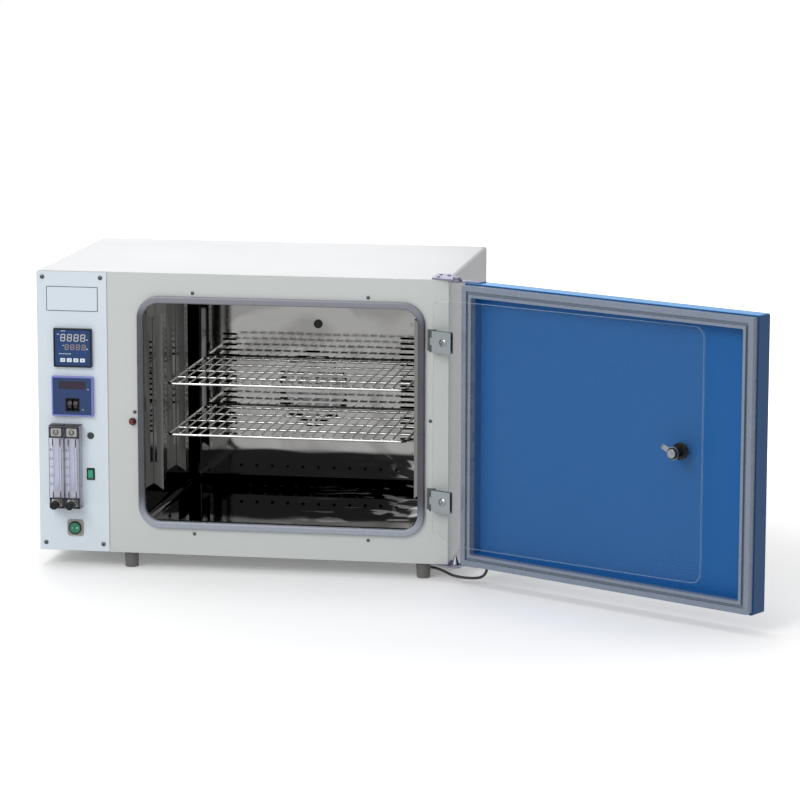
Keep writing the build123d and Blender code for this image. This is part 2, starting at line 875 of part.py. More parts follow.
def rack_upright(outer_x, inner_x, front_y):
    """One folded upright with sloping ends: a wall flange, a slotted front, a toothed side, two clips."""
    side = math.copysign(1, inner_x - outer_x)
    middle_y = front_y + rack_depth / 2
    middle_z = (rack_bottom + rack_top) / 2
    height = rack_top - rack_bottom
    with BuildSketch(facing(front_y + rack_sheet)) as front_sheet:
        with BuildLine():
            Polyline((inner_x, rack_bottom), (inner_x, rack_top), (outer_x, rack_top - rack_slope),
                     (outer_x, rack_bottom + rack_slope), close=True)
        make_face()
        with Locations((outer_x + side * rack_slot_width / 2, middle_z)):
            Rectangle(rack_slot_width, height - 2 * rack_slot_end - 2 * rack_slope,
                      mode=Mode.SUBTRACT)
    extrude(front_sheet.sketch, amount=rack_sheet)
    plate(sideways(min(outer_x, outer_x + side * rack_sheet)), middle_y, middle_z, rack_depth,
          height - 2 * rack_slope, rack_sheet)
    inner_face_x = min(inner_x, inner_x - side * rack_sheet)
    plate(sideways(inner_face_x), middle_y, middle_z, rack_depth, height, rack_sheet)
    tooth_count = int((height - 2 * rack_tooth_end) / rack_tooth_pitch)
    with BuildSketch(sideways(inner_face_x)) as teeth:
        with Locations((middle_y, middle_z)):
            with GridLocations(1, rack_tooth_pitch, 1, tooth_count):
                Rectangle(rack_tooth_width, rack_tooth_height)
    extrude(teeth.sketch, amount=rack_sheet, mode=Mode.SUBTRACT)
    for shelf_z in (upper_shelf_z, lower_shelf_z):
        clip_top = shelf_z - shelf_rail_radius - shelf_rest_gap
        plate(level(clip_top - shelf_clip_sheet), inner_x + side * shelf_clip_reach / 2, middle_y,
              shelf_clip_reach, shelf_clip_width, shelf_clip_sheet)
        plate(sideways(min(inner_x, inner_x + side * shelf_clip_sheet)), middle_y,
              clip_top - shelf_clip_sheet + shelf_clip_height / 2, shelf_clip_width,
              shelf_clip_height, shelf_clip_sheet)


with BuildPart() as shelf_racks:
    left_wall = liner_left + rack_wall_gap
    right_wall = liner_right - rack_wall_gap
    for upright_y in (rack_front_y, rack_rear_y):
        rack_upright(left_wall, left_wall + rack_width, upright_y)
        rack_upright(right_wall, right_wall - rack_width, upright_y)
shelf_racks.part.label = "shelf_racks"
export_step(shelf_racks.part, "parts/shelf_racks.step")


def wire_shelf(z):
    """A welded wire shelf: a bent outer rail, cross rods, and thinner wires from front to back on top."""
    mid_x = (shelf_left + shelf_right) / 2
    mid_y = (shelf_front_y + shelf_back_y) / 2
    rail_width = shelf_right - shelf_left - 2 * shelf_rail_radius
    rail_depth = shelf_back_y - shelf_front_y - 2 * shelf_rail_radius
    x_low, x_high = mid_x - rail_width / 2, mid_x + rail_width / 2
    y_low, y_high = mid_y - rail_depth / 2, mid_y + rail_depth / 2
    with BuildLine(level(z)) as rail:
        FilletPolyline((x_low, y_low), (x_high, y_low), (x_high, y_high), (x_low, y_high),
                       radius=shelf_rail_bend, close=True)
    with BuildSketch(Plane(origin=rail.line @ 0, z_dir=rail.line % 0)) as rail_section:
        Circle(shelf_rail_radius)
    sweep(rail_section.sketch, path=rail.line)
    with BuildSketch(sideways(x_low)) as cross_sections:
        for number in range(1, shelf_cross_count + 1):
            with Locations((y_low + rail_depth * number / (shelf_cross_count + 1), z)):
                Circle(shelf_cross_radius)
    extrude(cross_sections.sketch, amount=rail_width)
    wire_count = int((rail_width - shelf_rail_bend) / shelf_wire_pitch)
    wire_z = z + shelf_cross_radius + shelf_wire_radius - shelf_weld
    with BuildSketch(facing(y_high + shelf_rail_radius / 2)) as wire_sections:
        with Locations((mid_x, wire_z)):
            with GridLocations(shelf_wire_pitch, 1, wire_count, 1):
                Circle(shelf_wire_radius)
    extrude(wire_sections.sketch, amount=rail_depth + shelf_rail_radius)


with BuildPart() as upper_shelf:
    wire_shelf(upper_shelf_z)
upper_shelf.part.label = "upper_shelf"
export_step(upper_shelf.part, "parts/upper_shelf.step")

with BuildPart() as lower_shelf:
    wire_shelf(lower_shelf_z)
lower_shelf.part.label = "lower_shelf"
export_step(lower_shelf.part, "parts/lower_shelf.step")

with BuildPart() as sensor_port:
    port_back = duct_panel_y + liner_sheet + port_reach
    disc(facing(duct_panel_y), chamber_x, port_height, port_radius, port_proud)
    disc(facing(port_back), chamber_x, port_height, port_radius - port_bead - seat_gap,
         port_back - duct_panel_y + port_proud / 2)
    fillet(front_edges(sensor_port, duct_panel_y - port_proud), port_round)
sensor_port.part.label = "sensor_port"
export_step(sensor_port.part, "parts/sensor_port.step")

# Fan, motor and heater

fan_front = duct_panel_y + liner_sheet + fan_front_gap
fan_back = fan_front + fan_thickness
motor_front = liner_depth + motor_gap

with BuildPart() as fan_impeller:
    disc(facing(fan_back), fan_x, fan_z, fan_hub_radius, fan_thickness)
    disc(facing(fan_back), fan_x, fan_z, fan_radius, fan_blade_sheet)
    with BuildSketch(facing(fan_back)):
        with Locations((fan_x, fan_z)):
            with PolarLocations((fan_radius + fan_hub_radius) / 2, fan_blade_count):
                Rectangle(fan_radius - fan_hub_radius + 1, fan_blade_sheet)
    extrude(amount=fan_thickness)
    disc(facing(motor_front + motor_length / 2), fan_x, fan_z, fan_shaft_radius,
         motor_front + motor_length / 2 - fan_front)
fan_impeller.part.label = "fan_impeller"
export_step(fan_impeller.part, "parts/fan_impeller.step")

with BuildPart() as fan_motor:
    disc(facing(motor_front + motor_length), fan_x, fan_z, motor_radius - motor_rim, motor_length)
    disc(facing(motor_front + motor_rim), fan_x, fan_z, motor_radius, motor_rim)
    for arm in (-1, 1):
        plate(facing(motor_front), fan_x + arm * (motor_radius - motor_arm_inset), fan_z,
              motor_arm_width, motor_arm_height, motor_gap)
    disc(facing(motor_front + motor_length / 2 + 1), fan_x, fan_z,
         fan_shaft_radius + running_gap, motor_length, mode=Mode.SUBTRACT)
fan_motor.part.label = "fan_motor"
export_step(fan_motor.part, "parts/fan_motor.step")

with BuildPart() as air_heater:
    heater_y = (fan_front + fan_back) / 2
    sweep_angle = 360 - heater_open_angle
    centre = Vector(datum_x + fan_x, datum_y + heater_y, datum_z + fan_z)
    start = math.radians(-90 + heater_open_angle / 2)
    start_x = fan_x + heater_ring_radius * math.cos(start)
    start_z = fan_z + heater_ring_radius * math.sin(start)
    section = Plane(
        origin=(datum_x + start_x, datum_y + heater_y, datum_z + start_z),
        x_dir=(0, 1, 0),
        z_dir=(-math.sin(start), 0, math.cos(start)),
    )
    with BuildSketch(section):
        Circle(heater_tube_radius)
    revolve(axis=Axis(centre, (0, -1, 0)), revolution_arc=sweep_angle)
    leg_back = liner_depth - liner_sheet
    leg_x = heater_ring_radius * math.cos(start)
    with BuildSketch(facing(leg_back)):
        with Locations((fan_x - leg_x, start_z), (fan_x + leg_x, start_z)):
            Circle(heater_tube_radius)
    extrude(amount=leg_back - heater_y)
air_heater.part.label = "air_heater"
export_step(air_heater.part, "parts/air_heater.step")

# Control panel and its instruments

meter_port_zs = (valve_z, meter_plate_z)

with BuildPart() as control_panel:
    panel_width = bay_width - 2 * panel_margin
    panel_height = cabinet_height - panel_top_margin - panel_margin
    panel_mid_z = panel_margin + panel_height / 2
    plate(facing(0), bay_width / 2, panel_mid_z, panel_width, panel_height, panel_proud,
          panel_corner)
    plate(facing(panel_front), nameplate_x, nameplate_z, nameplate_width, nameplate_height,
          nameplate_proud, nameplate_corner)
    with BuildSketch(facing(0)):
        with Locations((thermo_x, thermo_z)):
            Rectangle(thermo_body + 2 * seat_gap, thermo_body + 2 * seat_gap)
        with Locations((gas_x, gas_z)):
            Rectangle(gas_width - gas_body_inset + 2 * seat_gap,
                      gas_height - gas_body_inset + 2 * seat_gap)
        for meter_x in meter_xs:
            for port_z in meter_port_zs:
                with Locations((meter_x, port_z)):
                    Circle(meter_port_radius + seat_gap)
        with Locations((small_switch_x, small_switch_z)):
            Rectangle(small_switch_width - small_switch_step - seat_gap,
                      small_switch_height - small_switch_step - seat_gap)
        with Locations((power_switch_x, power_switch_z)):
            Circle(power_ring_radius)
        with Locations((lamp_x, lamp_z)):
            Circle(lamp_stem_radius + seat_gap)
    extrude(amount=panel_proud, mode=Mode.SUBTRACT)
control_panel.part.label = "control_panel"
export_step(control_panel.part, "parts/control_panel.step")

thermo_front = panel_front - thermo_proud
thermo_face = thermo_front + face_recess
key_z = thermo_z - key_drop
key_xs = [thermo_x + key_pitch * (number - 1.5) for number in range(4)]

with BuildPart() as temp_controller:
    plate(facing(thermo_depth), thermo_x, thermo_z, thermo_body, thermo_body,
          thermo_depth - panel_front)
    plate(facing(panel_front), thermo_x, thermo_z, thermo_size, thermo_size, thermo_proud,
          bezel_corner)
    plate(facing(thermo_face), thermo_x, thermo_z, thermo_size - 2 * bezel_rim,
          thermo_size - 2 * bezel_rim, face_recess, face_corner, mode=Mode.SUBTRACT)
    for key_x in key_xs:
        plate(facing(thermo_face + key_pocket), key_x, key_z, key_width + 2 * seat_gap,
              key_height + 2 * seat_gap, key_pocket, mode=Mode.SUBTRACT)
temp_controller.part.label = "temp_controller"
export_step(temp_controller.part, "parts/temp_controller.step")

for number, key_x in enumerate(key_xs, start=1):
    with BuildPart() as key:
        key_back = thermo_face + key_pocket - key_travel - seat_gap
        plate(facing(key_back), key_x, key_z, key_width, key_height,
              key_back - thermo_face + key_proud, key_corner)
    key.part.label = f"key_{number}"
    export_step(key.part, f"parts/key_{number}.step")

gas_front = panel_front - gas_proud
gas_face = gas_front + face_recess
digit_z = gas_z - digit_pocket_drop
digit_y = gas_face + digit_wheel_radius - digit_wheel_proud
digit_xs = [gas_x - digit_wheel_pitch / 2, gas_x + digit_wheel_pitch / 2]

with BuildPart() as gas_controller:
    plate(facing(gas_depth), gas_x, gas_z, gas_width - gas_body_inset,
          gas_height - gas_body_inset, gas_depth - panel_front)
    plate(facing(panel_front), gas_x, gas_z, gas_width, gas_height, gas_proud, bezel_corner)
    plate(facing(gas_face), gas_x, gas_z, gas_width - 2 * bezel_rim,
          gas_height - 2 * bezel_rim, face_recess, face_corner, mode=Mode.SUBTRACT)
    plate(facing(gas_face + gas_window_recess), gas_x, gas_z + gas_window_rise,
          gas_window_width, gas_window_height, gas_window_recess, face_corner,
          mode=Mode.SUBTRACT)
    plate(facing(gas_face + digit_pocket_depth), gas_x, digit_z, digit_pocket_width,
          digit_pocket_height, digit_pocket_depth, mode=Mode.SUBTRACT)
    disc(sideways(gas_x - digit_pocket_width / 2), digit_y, digit_z, digit_pin_radius,
         digit_pocket_width)
gas_controller.part.label = "gas_controller"
export_step(gas_controller.part, "parts/gas_controller.step")

for name, wheel_x in zip(("digit_wheel_left", "digit_wheel_right"), digit_xs):
    with BuildPart() as digit_wheel:
        with BuildSketch(sideways(wheel_x - digit_wheel_width / 2)):
            with Locations((digit_y, digit_z)):
                RegularPolygon(digit_wheel_radius, 10)
                Circle(digit_pin_radius + running_gap, mode=Mode.SUBTRACT)
        extrude(amount=digit_wheel_width)
    digit_wheel.part.label = name
    export_step(digit_wheel.part, f"parts/{name}.step")

for name, meter_x in zip(("flowmeter_left", "flowmeter_right"), meter_xs):
    with BuildPart() as flowmeter:
        plate(facing(panel_front), meter_x, meter_bottom + meter_height / 2,
              meter_width, meter_height, meter_depth, meter_corner)
        disc(level(ferrule_low_z), meter_x, meter_mid_y, meter_bore_radius,
             ferrule_high_z - ferrule_low_z, mode=Mode.SUBTRACT)
        for ferrule_z in (ferrule_low_z, ferrule_high_z):
            disc(level(ferrule_z), meter_x, meter_mid_y, ferrule_radius + seat_gap / 2,
                 ferrule_length, mode=Mode.SUBTRACT)
        disc(facing(meter_front + valve_stem_inside + 1), meter_x, valve_z,
             valve_stem_radius + seat_gap, valve_stem_inside + 1, mode=Mode.SUBTRACT)
        for port_z in meter_port_zs:
            disc(facing(panel_front), meter_x, port_z, meter_port_radius + seat_gap,
                 meter_port_inside, mode=Mode.SUBTRACT)
    flowmeter.part.label = name
    export_step(flowmeter.part, f"parts/{name}.step")

with BuildPart() as flowmeter_fittings:
    for meter_x in meter_xs:
        for ferrule_z in (ferrule_low_z, ferrule_high_z):
            with BuildSketch(level(ferrule_z)):
                with Locations((meter_x, meter_mid_y)):
                    Circle(ferrule_radius)
                    Circle(ferrule_bore_radius, mode=Mode.SUBTRACT)
            extrude(amount=ferrule_length)
        plate(facing(meter_front), meter_x, meter_plate_z, meter_plate_width,
              meter_plate_height, meter_plate_sheet, 1)
        disc(facing(meter_front - meter_plate_sheet), meter_x, meter_plate_z,
             meter_plug_radius, meter_plug_height)
        with BuildSketch(facing(meter_front)):
            with Locations((meter_x, valve_z)):
                RegularPolygon(valve_nut_radius, 6)
                Circle(valve_stem_radius + running_gap, mode=Mode.SUBTRACT)
        extrude(amount=valve_nut_length)
        for port_z in meter_port_zs:
            disc(facing(meter_port_reach), meter_x, port_z, meter_port_radius,
                 meter_port_reach - panel_front + meter_port_inside)
flowmeter_fittings.part.label = "flowmeter_fittings"
export_step(flowmeter_fittings.part, "parts/flowmeter_fittings.step")

knob_back = meter_front - valve_stem_length
for name, meter_x in zip(("valve_knob_left", "valve_knob_right"), meter_xs):
    with BuildPart() as valve_knob:
        disc(facing(knob_back), meter_x, valve_z, valve_knob_radius, valve_knob_length)
        chamfer(front_edges(valve_knob, knob_back - valve_knob_length), valve_knob_chamfer)
        with BuildSketch(facing(knob_back)):
            with Locations((meter_x, valve_z)):
                with PolarLocations(valve_knob_radius, valve_grip_count):
                    Circle(valve_grip_radius)
        extrude(amount=valve_knob_length, mode=Mode.SUBTRACT)
        disc(facing(meter_front + valve_stem_inside), meter_x, valve_z, valve_stem_radius,
             valve_stem_length + valve_stem_inside)
    valve_knob.part.label = name
    export_step(valve_knob.part, f"parts/{name}.step")

float_bottom = ferrule_low_z + ferrule_length + seat_gap
for name, meter_x in zip(("float_left", "float_right"), meter_xs):
    with BuildPart() as meter_float:
        float_centre = Plane(
            origin=(datum_x + meter_x, datum_y + meter_mid_y, datum_z + float_bottom),
            x_dir=(1, 0, 0),
            z_dir=(0, -1, 0),
        )
        with BuildSketch(float_centre):
            with BuildLine():
                Polyline((0, 0), (float_tip_radius, 0), (float_radius, float_skirt),
                         (float_radius, float_height), (0, float_height), close=True)
            make_face()
        revolve(axis=Axis(float_centre.origin, (0, 0, 1)))
    meter_float.part.label = name
    export_step(meter_float.part, f"parts/{name}.step")

small_front = panel_front - small_switch_proud
small_pocket_width = small_switch_width - 2 * small_switch_rim
small_pocket_height = small_switch_height - 2 * small_switch_rim
small_rocker_y = small_front + rocker_thickness / 2 - rocker_rise

with BuildPart() as small_switch_frame:
    plate(facing(small_switch_depth), small_switch_x, small_switch_z,
          small_switch_width - 2 * small_switch_step, small_switch_height - 2 * small_switch_step,
          small_switch_depth - panel_front)
    plate(facing(panel_front), small_switch_x, small_switch_z, small_switch_width,
          small_switch_height, small_switch_proud, face_corner)
    plate(facing(small_front + small_switch_pocket), small_switch_x, small_switch_z,
          small_pocket_width, small_pocket_height, small_switch_pocket, mode=Mode.SUBTRACT)
    disc(sideways(small_switch_x - small_pocket_width / 2 - trunnion_length), small_rocker_y,
         small_switch_z, trunnion_radius + running_gap, small_pocket_width + 2 * trunnion_length,
         mode=Mode.SUBTRACT)
small_switch_frame.part.label = "small_switch_frame"
export_step(small_switch_frame.part, "parts/small_switch_frame.step")

with BuildPart() as small_rocker:
    rocker_width = small_pocket_width - 2 * rocker_gap
    rocker_height = small_pocket_height - 4 * rocker_gap
    tilted = rocked(small_switch_x, small_rocker_y, small_switch_z, rocker_tilt)
    plate(tilted.offset(-rocker_thickness / 2), 0, 0, rocker_width, rocker_height, rocker_thickness,
          key_corner)
    trunnion_span = small_pocket_width + 2 * trunnion_length - 2 * rocker_gap
    disc(sideways(small_switch_x - trunnion_span / 2), small_rocker_y, small_switch_z,
         trunnion_radius, trunnion_span)
small_rocker.part.label = "small_rocker"
export_step(small_rocker.part, "parts/small_rocker.step")

power_front = panel_front - power_plate_proud - power_ring_proud
power_rocker_y = power_front + rocker_thickness / 2 - rocker_rise

with BuildPart() as power_switch_plate:
    disc(facing(power_body_depth), power_switch_x, power_switch_z,
         power_ring_radius - seat_gap, power_body_depth - panel_front)
    plate(facing(panel_front), power_switch_x, power_switch_z, power_plate_size,
          power_plate_size, power_plate_proud, power_plate_corner)
    disc(facing(panel_front - power_plate_proud), power_switch_x, power_switch_z,
         power_ring_radius, power_ring_proud)
    disc(facing(power_front + power_pocket_depth), power_switch_x, power_switch_z,
         power_pocket_radius, power_pocket_depth, mode=Mode.SUBTRACT)
    disc(sideways(power_switch_x - power_pocket_radius - trunnion_length), power_rocker_y,
         power_switch_z, trunnion_radius + running_gap,
         2 * power_pocket_radius + 2 * trunnion_length, mode=Mode.SUBTRACT)
power_switch_plate.part.label = "power_switch_plate"
export_step(power_switch_plate.part, "parts/power_switch_plate.step")

with BuildPart() as power_rocker:
    tilted = rocked(power_switch_x, power_rocker_y, power_switch_z, rocker_tilt)
    disc(tilted.offset(-rocker_thickness / 2), 0, 0, power_pocket_radius - 2 * rocker_gap,
         rocker_thickness)
    trunnion_span = 2 * (power_pocket_radius + trunnion_length - rocker_gap)
    disc(sideways(power_switch_x - trunnion_span / 2), power_rocker_y, power_switch_z,
         trunnion_radius, trunnion_span)
power_rocker.part.label = "power_rocker"
export_step(power_rocker.part, "parts/power_rocker.step")

with BuildPart() as pilot_lamp:
    disc(facing(lamp_stem_length), lamp_x, lamp_z, lamp_stem_radius,
         lamp_stem_length - panel_front)
    disc(facing(panel_front), lamp_x, lamp_z, lamp_radius, lamp_proud)
    fillet(front_edges(pilot_lamp, panel_front - lamp_proud), lamp_round)
pilot_lamp.part.label = "pilot_lamp"
export_step(pilot_lamp.part, "parts/pilot_lamp.step")

with BuildPart() as door_switch_ring:
    disc(facing(0), door_switch_x, door_switch_z, door_switch_ring_radius,
         door_switch_ring_proud)
    chamfer(front_edges(door_switch_ring, -door_switch_ring_proud), door_switch_chamfer)
    disc(facing(door_switch_barrel_length), door_switch_x, door_switch_z,
         door_switch_barrel_radius, door_switch_barrel_length)
    disc(facing(door_switch_barrel_length - door_switch_cap), door_switch_x, door_switch_z,
         plunger_radius + running_gap, door_switch_barrel_length + door_switch_ring_proud,
         mode=Mode.SUBTRACT)
door_switch_ring.part.label = "door_switch_ring"
export_step(door_switch_ring.part, "parts/door_switch_ring.step")

plunger_front = -glass_stand_off + plunger_short_of_glass
with BuildPart() as door_switch_plunger:
    disc(facing(plunger_front + plunger_length), door_switch_x, door_switch_z, plunger_radius,
         plunger_length)
    fillet(front_edges(door_switch_plunger, plunger_front), plunger_radius * 0.7)
door_switch_plunger.part.label = "door_switch_plunger"
export_step(door_switch_plunger.part, "parts/door_switch_plunger.step")

panel_screw_spots = [
    (bay_width / 2 + side * (panel_width / 2 - panel_screw_inset_x), z)
    for side in (-1, 1)
    for z in (panel_screw_inset_bottom, cabinet_height - panel_top_margin - panel_screw_inset_top)
]
frame_screw_spots = [
    (x, z)
    for x in (frame_screw_left, cabinet_width - frame_screw_right_inset)
    for z in (opening_bottom - frame_screw_drop, opening_top + frame_screw_reach)
]
frame_screw_spots.append((side_screw_left, side_screw_z))
frame_screw_spots.append((cabinet_width - side_screw_right_inset, side_screw_z))
rear_screw_spots = [
    (x, z)
    for x in (rear_screw_inset, partition_x, cabinet_mid_x, cabinet_width - rear_screw_inset)
    for z in (rear_screw_inset, cabinet_height - rear_screw_inset)
]

with BuildPart() as case_screws:
    for spot_x, spot_z in panel_screw_spots:
        disc(facing(panel_front), spot_x, spot_z, panel_screw_radius, panel_screw_height)
    for spot_x, spot_z in frame_screw_spots:
        disc(facing(0), spot_x, spot_z, frame_screw_radius, frame_screw_height)
    fillet(front_edges(case_screws, panel_front - panel_screw_height), panel_screw_height * 0.8)
    fillet(front_edges(case_screws, -frame_screw_height), frame_screw_height * 0.8)
    for spot_x, spot_z in rear_screw_spots:
        disc(facing(cabinet_depth + frame_screw_height), spot_x, spot_z, frame_screw_radius,
             frame_screw_height)
case_screws.part.label = "case_screws"
export_step(case_screws.part, "parts/case_screws.step")

# Inside the control bay

with BuildPart() as gas_valve:
    valve_top = frame_sheet + valve_block_height
    plate(level(frame_sheet), valve_block_x, valve_block_y, valve_block_size, valve_block_size,
          valve_block_height)
    disc(level(valve_top), valve_block_x, valve_block_y, valve_coil_radius, valve_coil_height)
    disc(level(valve_top + valve_coil_height), valve_block_x, valve_block_y, valve_nub_radius,
         valve_nub_height)
    disc(facing(valve_block_y + valve_tail_length / 2), valve_block_x,
         frame_sheet + valve_block_height / 2, valve_tail_radius, valve_tail_length)
gas_valve.part.label = "gas_valve"
export_step(gas_valve.part, "parts/gas_valve.step")

with BuildPart() as control_board:
    board_x = partition_x - board_standoff - board_sheet
    plate(sideways(board_x), board_y, board_z, board_width, board_height, board_sheet)
    with BuildSketch(sideways(board_x + board_sheet)):
        with Locations((board_y, board_z)):
            with GridLocations(board_width - 2 * board_post_inset,
                               board_height - 2 * board_post_inset, 2, 2):
                Circle(board_post_radius)
    extrude(amount=board_standoff)
    with BuildSketch(sideways(board_x)):
        with Locations((board_y, board_z + board_relay_rise)):
            with GridLocations(board_relay_pitch, 1, board_relay_count, 1):
                Rectangle(board_relay_width, board_relay_height)
    extrude(amount=-board_relay_proud)
    plate(sideways(board_x - board_transformer_proud), board_y, board_z - board_transformer_drop,
          board_transformer_width, board_transformer_height, board_transformer_proud)
control_board.part.label = "control_board"
export_step(control_board.part, "parts/control_board.step")

with BuildPart() as gas_inlet:
    disc(facing(cabinet_depth + gas_inlet_nut), gas_inlet_x, gas_inlet_z, gas_inlet_nut_radius,
         gas_inlet_nut)
    disc(facing(cabinet_depth + gas_inlet_reach), gas_inlet_x, gas_inlet_z, gas_inlet_radius,
         gas_inlet_reach + frame_sheet + gas_inlet_inside)
    disc(facing(cabinet_depth + gas_inlet_reach), gas_inlet_x, gas_inlet_z, gas_inlet_bore,
         gas_inlet_reach + frame_sheet + gas_inlet_inside, mode=Mode.SUBTRACT)
gas_inlet.part.label = "gas_inlet"
export_step(gas_inlet.part, "parts/gas_inlet.step")

with BuildPart() as cable_glands:
    disc(facing(cabinet_depth + gland_reach), gland_x, gland_z, gland_radius, gland_reach)
    disc(facing(cabinet_depth), gland_x, gland_z, gland_stem_radius, gland_inside)
    disc(facing(cabinet_depth + gland_reach), gland_x, gland_z, gland_bore,
         gland_reach + gland_inside, mode=Mode.SUBTRACT)
    with BuildSketch(level(-gland_nut)):
        with Locations((lead_start_x, lead_start_y)):
            Circle(lead_radius + gland_wall)
            Circle(lead_radius + seat_gap, mode=Mode.SUBTRACT)
    extrude(amount=gland_nut)
cable_glands.part.label = "cable_glands"
export_step(cable_glands.part, "parts/cable_glands.step")

# Outer door

with BuildPart() as door_shell:
    plate(door(door_shell_back), door_mid_along, door_mid_z, door_shell_width,
          door_shell_height, door_shell_depth, door_shell_corner)
    plate(door(door_shell_back + door_sheet), door_mid_along, door_mid_z,
          door_shell_width - 2 * door_sheet, door_shell_height - 2 * door_sheet,
          door_shell_depth - 2 * door_sheet, door_shell_corner - door_sheet, mode=Mode.SUBTRACT)
    plate(door(door_shell_front - door_sheet), door_mid_along, door_mid_z, door_inner_width,
          door_inner_height, door_sheet, door_pan_corner + door_pan_gap, mode=Mode.SUBTRACT)
    disc(flat(door(0), door_shell_bottom), lead_along, lead_outward, lead_radius + seat_gap,
         door_sheet, mode=Mode.SUBTRACT)
door_shell.part.label = "door_shell"
export_step(door_shell.part, "parts/door_shell.step")

with BuildPart() as door_inner_panel:
    pan_width = door_inner_width - 2 * door_pan_gap
    pan_height = door_inner_height - 2 * door_pan_gap
    plate(door(door_pan_floor - door_pan_sheet), door_mid_along, door_mid_z, pan_width,
          pan_height, door_shell_front - door_pan_floor + door_pan_sheet, door_pan_corner)
    plate(door(door_shell_front - door_sheet - door_pan_sheet), door_mid_along, door_mid_z,
          pan_width + 2 * door_pan_rim, pan_height + 2 * door_pan_rim, door_pan_sheet)
    plate(door(door_pan_floor), door_mid_along, door_mid_z, pan_width - 2 * door_pan_sheet,
          pan_height - 2 * door_pan_sheet, door_pan_depth + door_sheet,
          door_pan_corner - door_pan_sheet, mode=Mode.SUBTRACT)
door_inner_panel.part.label = "door_inner_panel"
export_step(door_inner_panel.part, "parts/door_inner_panel.step")

with BuildPart() as door_insulation:
    slab_back = door_shell_back + door_sheet + seat_gap
    plate(door(slab_back), door_mid_along, door_mid_z, door_shell_width - 4 * door_sheet,
          door_shell_height - 4 * door_sheet, door_pan_floor - door_pan_sheet - seat_gap - slab_back)
door_insulation.part.label = "door_insulation"
export_step(door_insulation.part, "parts/door_insulation.step")

with BuildPart() as door_gasket:
    lip_height = door_lip_top - door_lip_bottom
    plate(door(door_shell_front), door_mid_along, door_mid_z, door_lip_width, lip_height,
          door_gasket_depth, door_gasket_corner)
    plate(door(door_shell_front), door_mid_along, door_mid_z, door_inner_width,
          door_inner_height, door_gasket_depth, door_pan_corner, mode=Mode.SUBTRACT)
    with BuildSketch(door(door_lip_plane - door_groove_depth)):
        with Locations((door_mid_along, door_mid_z)):
            Rectangle(door_lip_width - 2 * door_groove_inset, lip_height - 2 * door_groove_inset)
            Rectangle(door_lip_width - 2 * door_groove_inset - 2 * door_groove_width,
                      lip_height - 2 * door_groove_inset - 2 * door_groove_width,
                      mode=Mode.SUBTRACT)
    extrude(amount=door_groove_depth, mode=Mode.SUBTRACT)
door_gasket.part.label = "door_gasket"
export_step(door_gasket.part, "parts/door_gasket.step")

with BuildPart() as door_handle:
    handle_along = door_lip_start + door_lip_width - handle_inboard
    handle_low = door_mid_z - handle_span / 2
    handle_high = door_mid_z + handle_span / 2
    handle_side = door(door_shell_back)
    handle_plane = Plane(
        origin=handle_side.origin + handle_side.x_dir * handle_along,
        x_dir=handle_side.z_dir * -1,
        z_dir=handle_side.x_dir,
    )
    with BuildLine(handle_plane) as handle_path:
        FilletPolyline((0, handle_low), (handle_reach, handle_low),
                       (handle_reach, handle_high), (0, handle_high), radius=handle_bend)
    with BuildSketch(Plane(origin=handle_path.line @ 0, z_dir=handle_path.line % 0)):
        Circle(handle_radius)
    sweep(path=handle_path.line)
door_handle.part.label = "door_handle"
export_step(door_handle.part, "parts/door_handle.step")

with BuildPart() as door_hinge_arms:
    for arm_z in (door_shell_bottom - hinge_arm_sheet, door_shell_top):
        with BuildSketch(flat(door(0), arm_z)):
            with Locations((hinge_arm_length / 2 + hinge_ear_radius / 2,
                            (hinge_arm_front + hinge_arm_back) / 2)):
                Rectangle(hinge_arm_length - hinge_ear_radius,
                          hinge_arm_back - hinge_arm_front)
            with BuildLine():
                Polyline((-hinge_ear_radius * 0.7, hinge_ear_radius * 0.7),
                         (hinge_ear_radius * 0.7, -hinge_ear_radius * 0.7),
                         (hinge_ear_radius * 2, hinge_arm_front),
                         (hinge_ear_radius * 2, hinge_arm_back), close=True)
            make_face()
            Circle(hinge_ear_radius)
            Circle(hinge_pin_radius + running_gap, mode=Mode.SUBTRACT)
        extrude(amount=hinge_arm_sheet)
door_hinge_arms.part.label = "door_hinge_arms"
export_step(door_hinge_arms.part, "parts/door_hinge_arms.step")

with BuildPart() as door_hinge_brackets:
    for bracket_z in (-hinge_plate_sheet, cabinet_height):
        with BuildSketch(level(bracket_z)):
            with BuildLine():
                Polyline((hinge_plate_left, hinge_plate_front),
                         (door_pivot_x - hinge_ear_radius * 0.7,
                          door_pivot_y - hinge_ear_radius * 0.7),
                         (door_pivot_x + hinge_ear_radius * 0.7,
                          door_pivot_y + hinge_ear_radius * 0.7),
                         (cabinet_width, hinge_plate_front + 4 * hinge_ear_radius),
                         (cabinet_width - hinge_plate_chamfer, hinge_plate_back),
                         (hinge_plate_left, hinge_plate_back), close=True)
            make_face()
            with Locations((door_pivot_x, door_pivot_y)):
                Circle(hinge_ear_radius)
        extrude(amount=hinge_plate_sheet)
    pin_low = -hinge_plate_sheet
    cone_bottom = door_shell_bottom + 2 * seat_gap
    disc(level(pin_low), door_pivot_x, door_pivot_y, hinge_pin_radius, cone_bottom - pin_low)
    with BuildSketch(level(cone_bottom)):
        with Locations((door_pivot_x, door_pivot_y)):
            Circle(hinge_pin_head_radius)
    with BuildSketch(level(cone_bottom + hinge_cone_height)):
        with Locations((door_pivot_x, door_pivot_y)):
            Circle(hinge_cone_tip)
    loft()
    pin_foot = door_shell_top - 2 * seat_gap
    disc(level(pin_foot), door_pivot_x, door_pivot_y, hinge_pin_radius,
         cabinet_height - pin_foot)
    disc(level(cabinet_height + hinge_plate_sheet), door_pivot_x, door_pivot_y,
         hinge_pin_head_radius, hinge_pin_head)
door_hinge_brackets.part.label = "door_hinge_brackets"
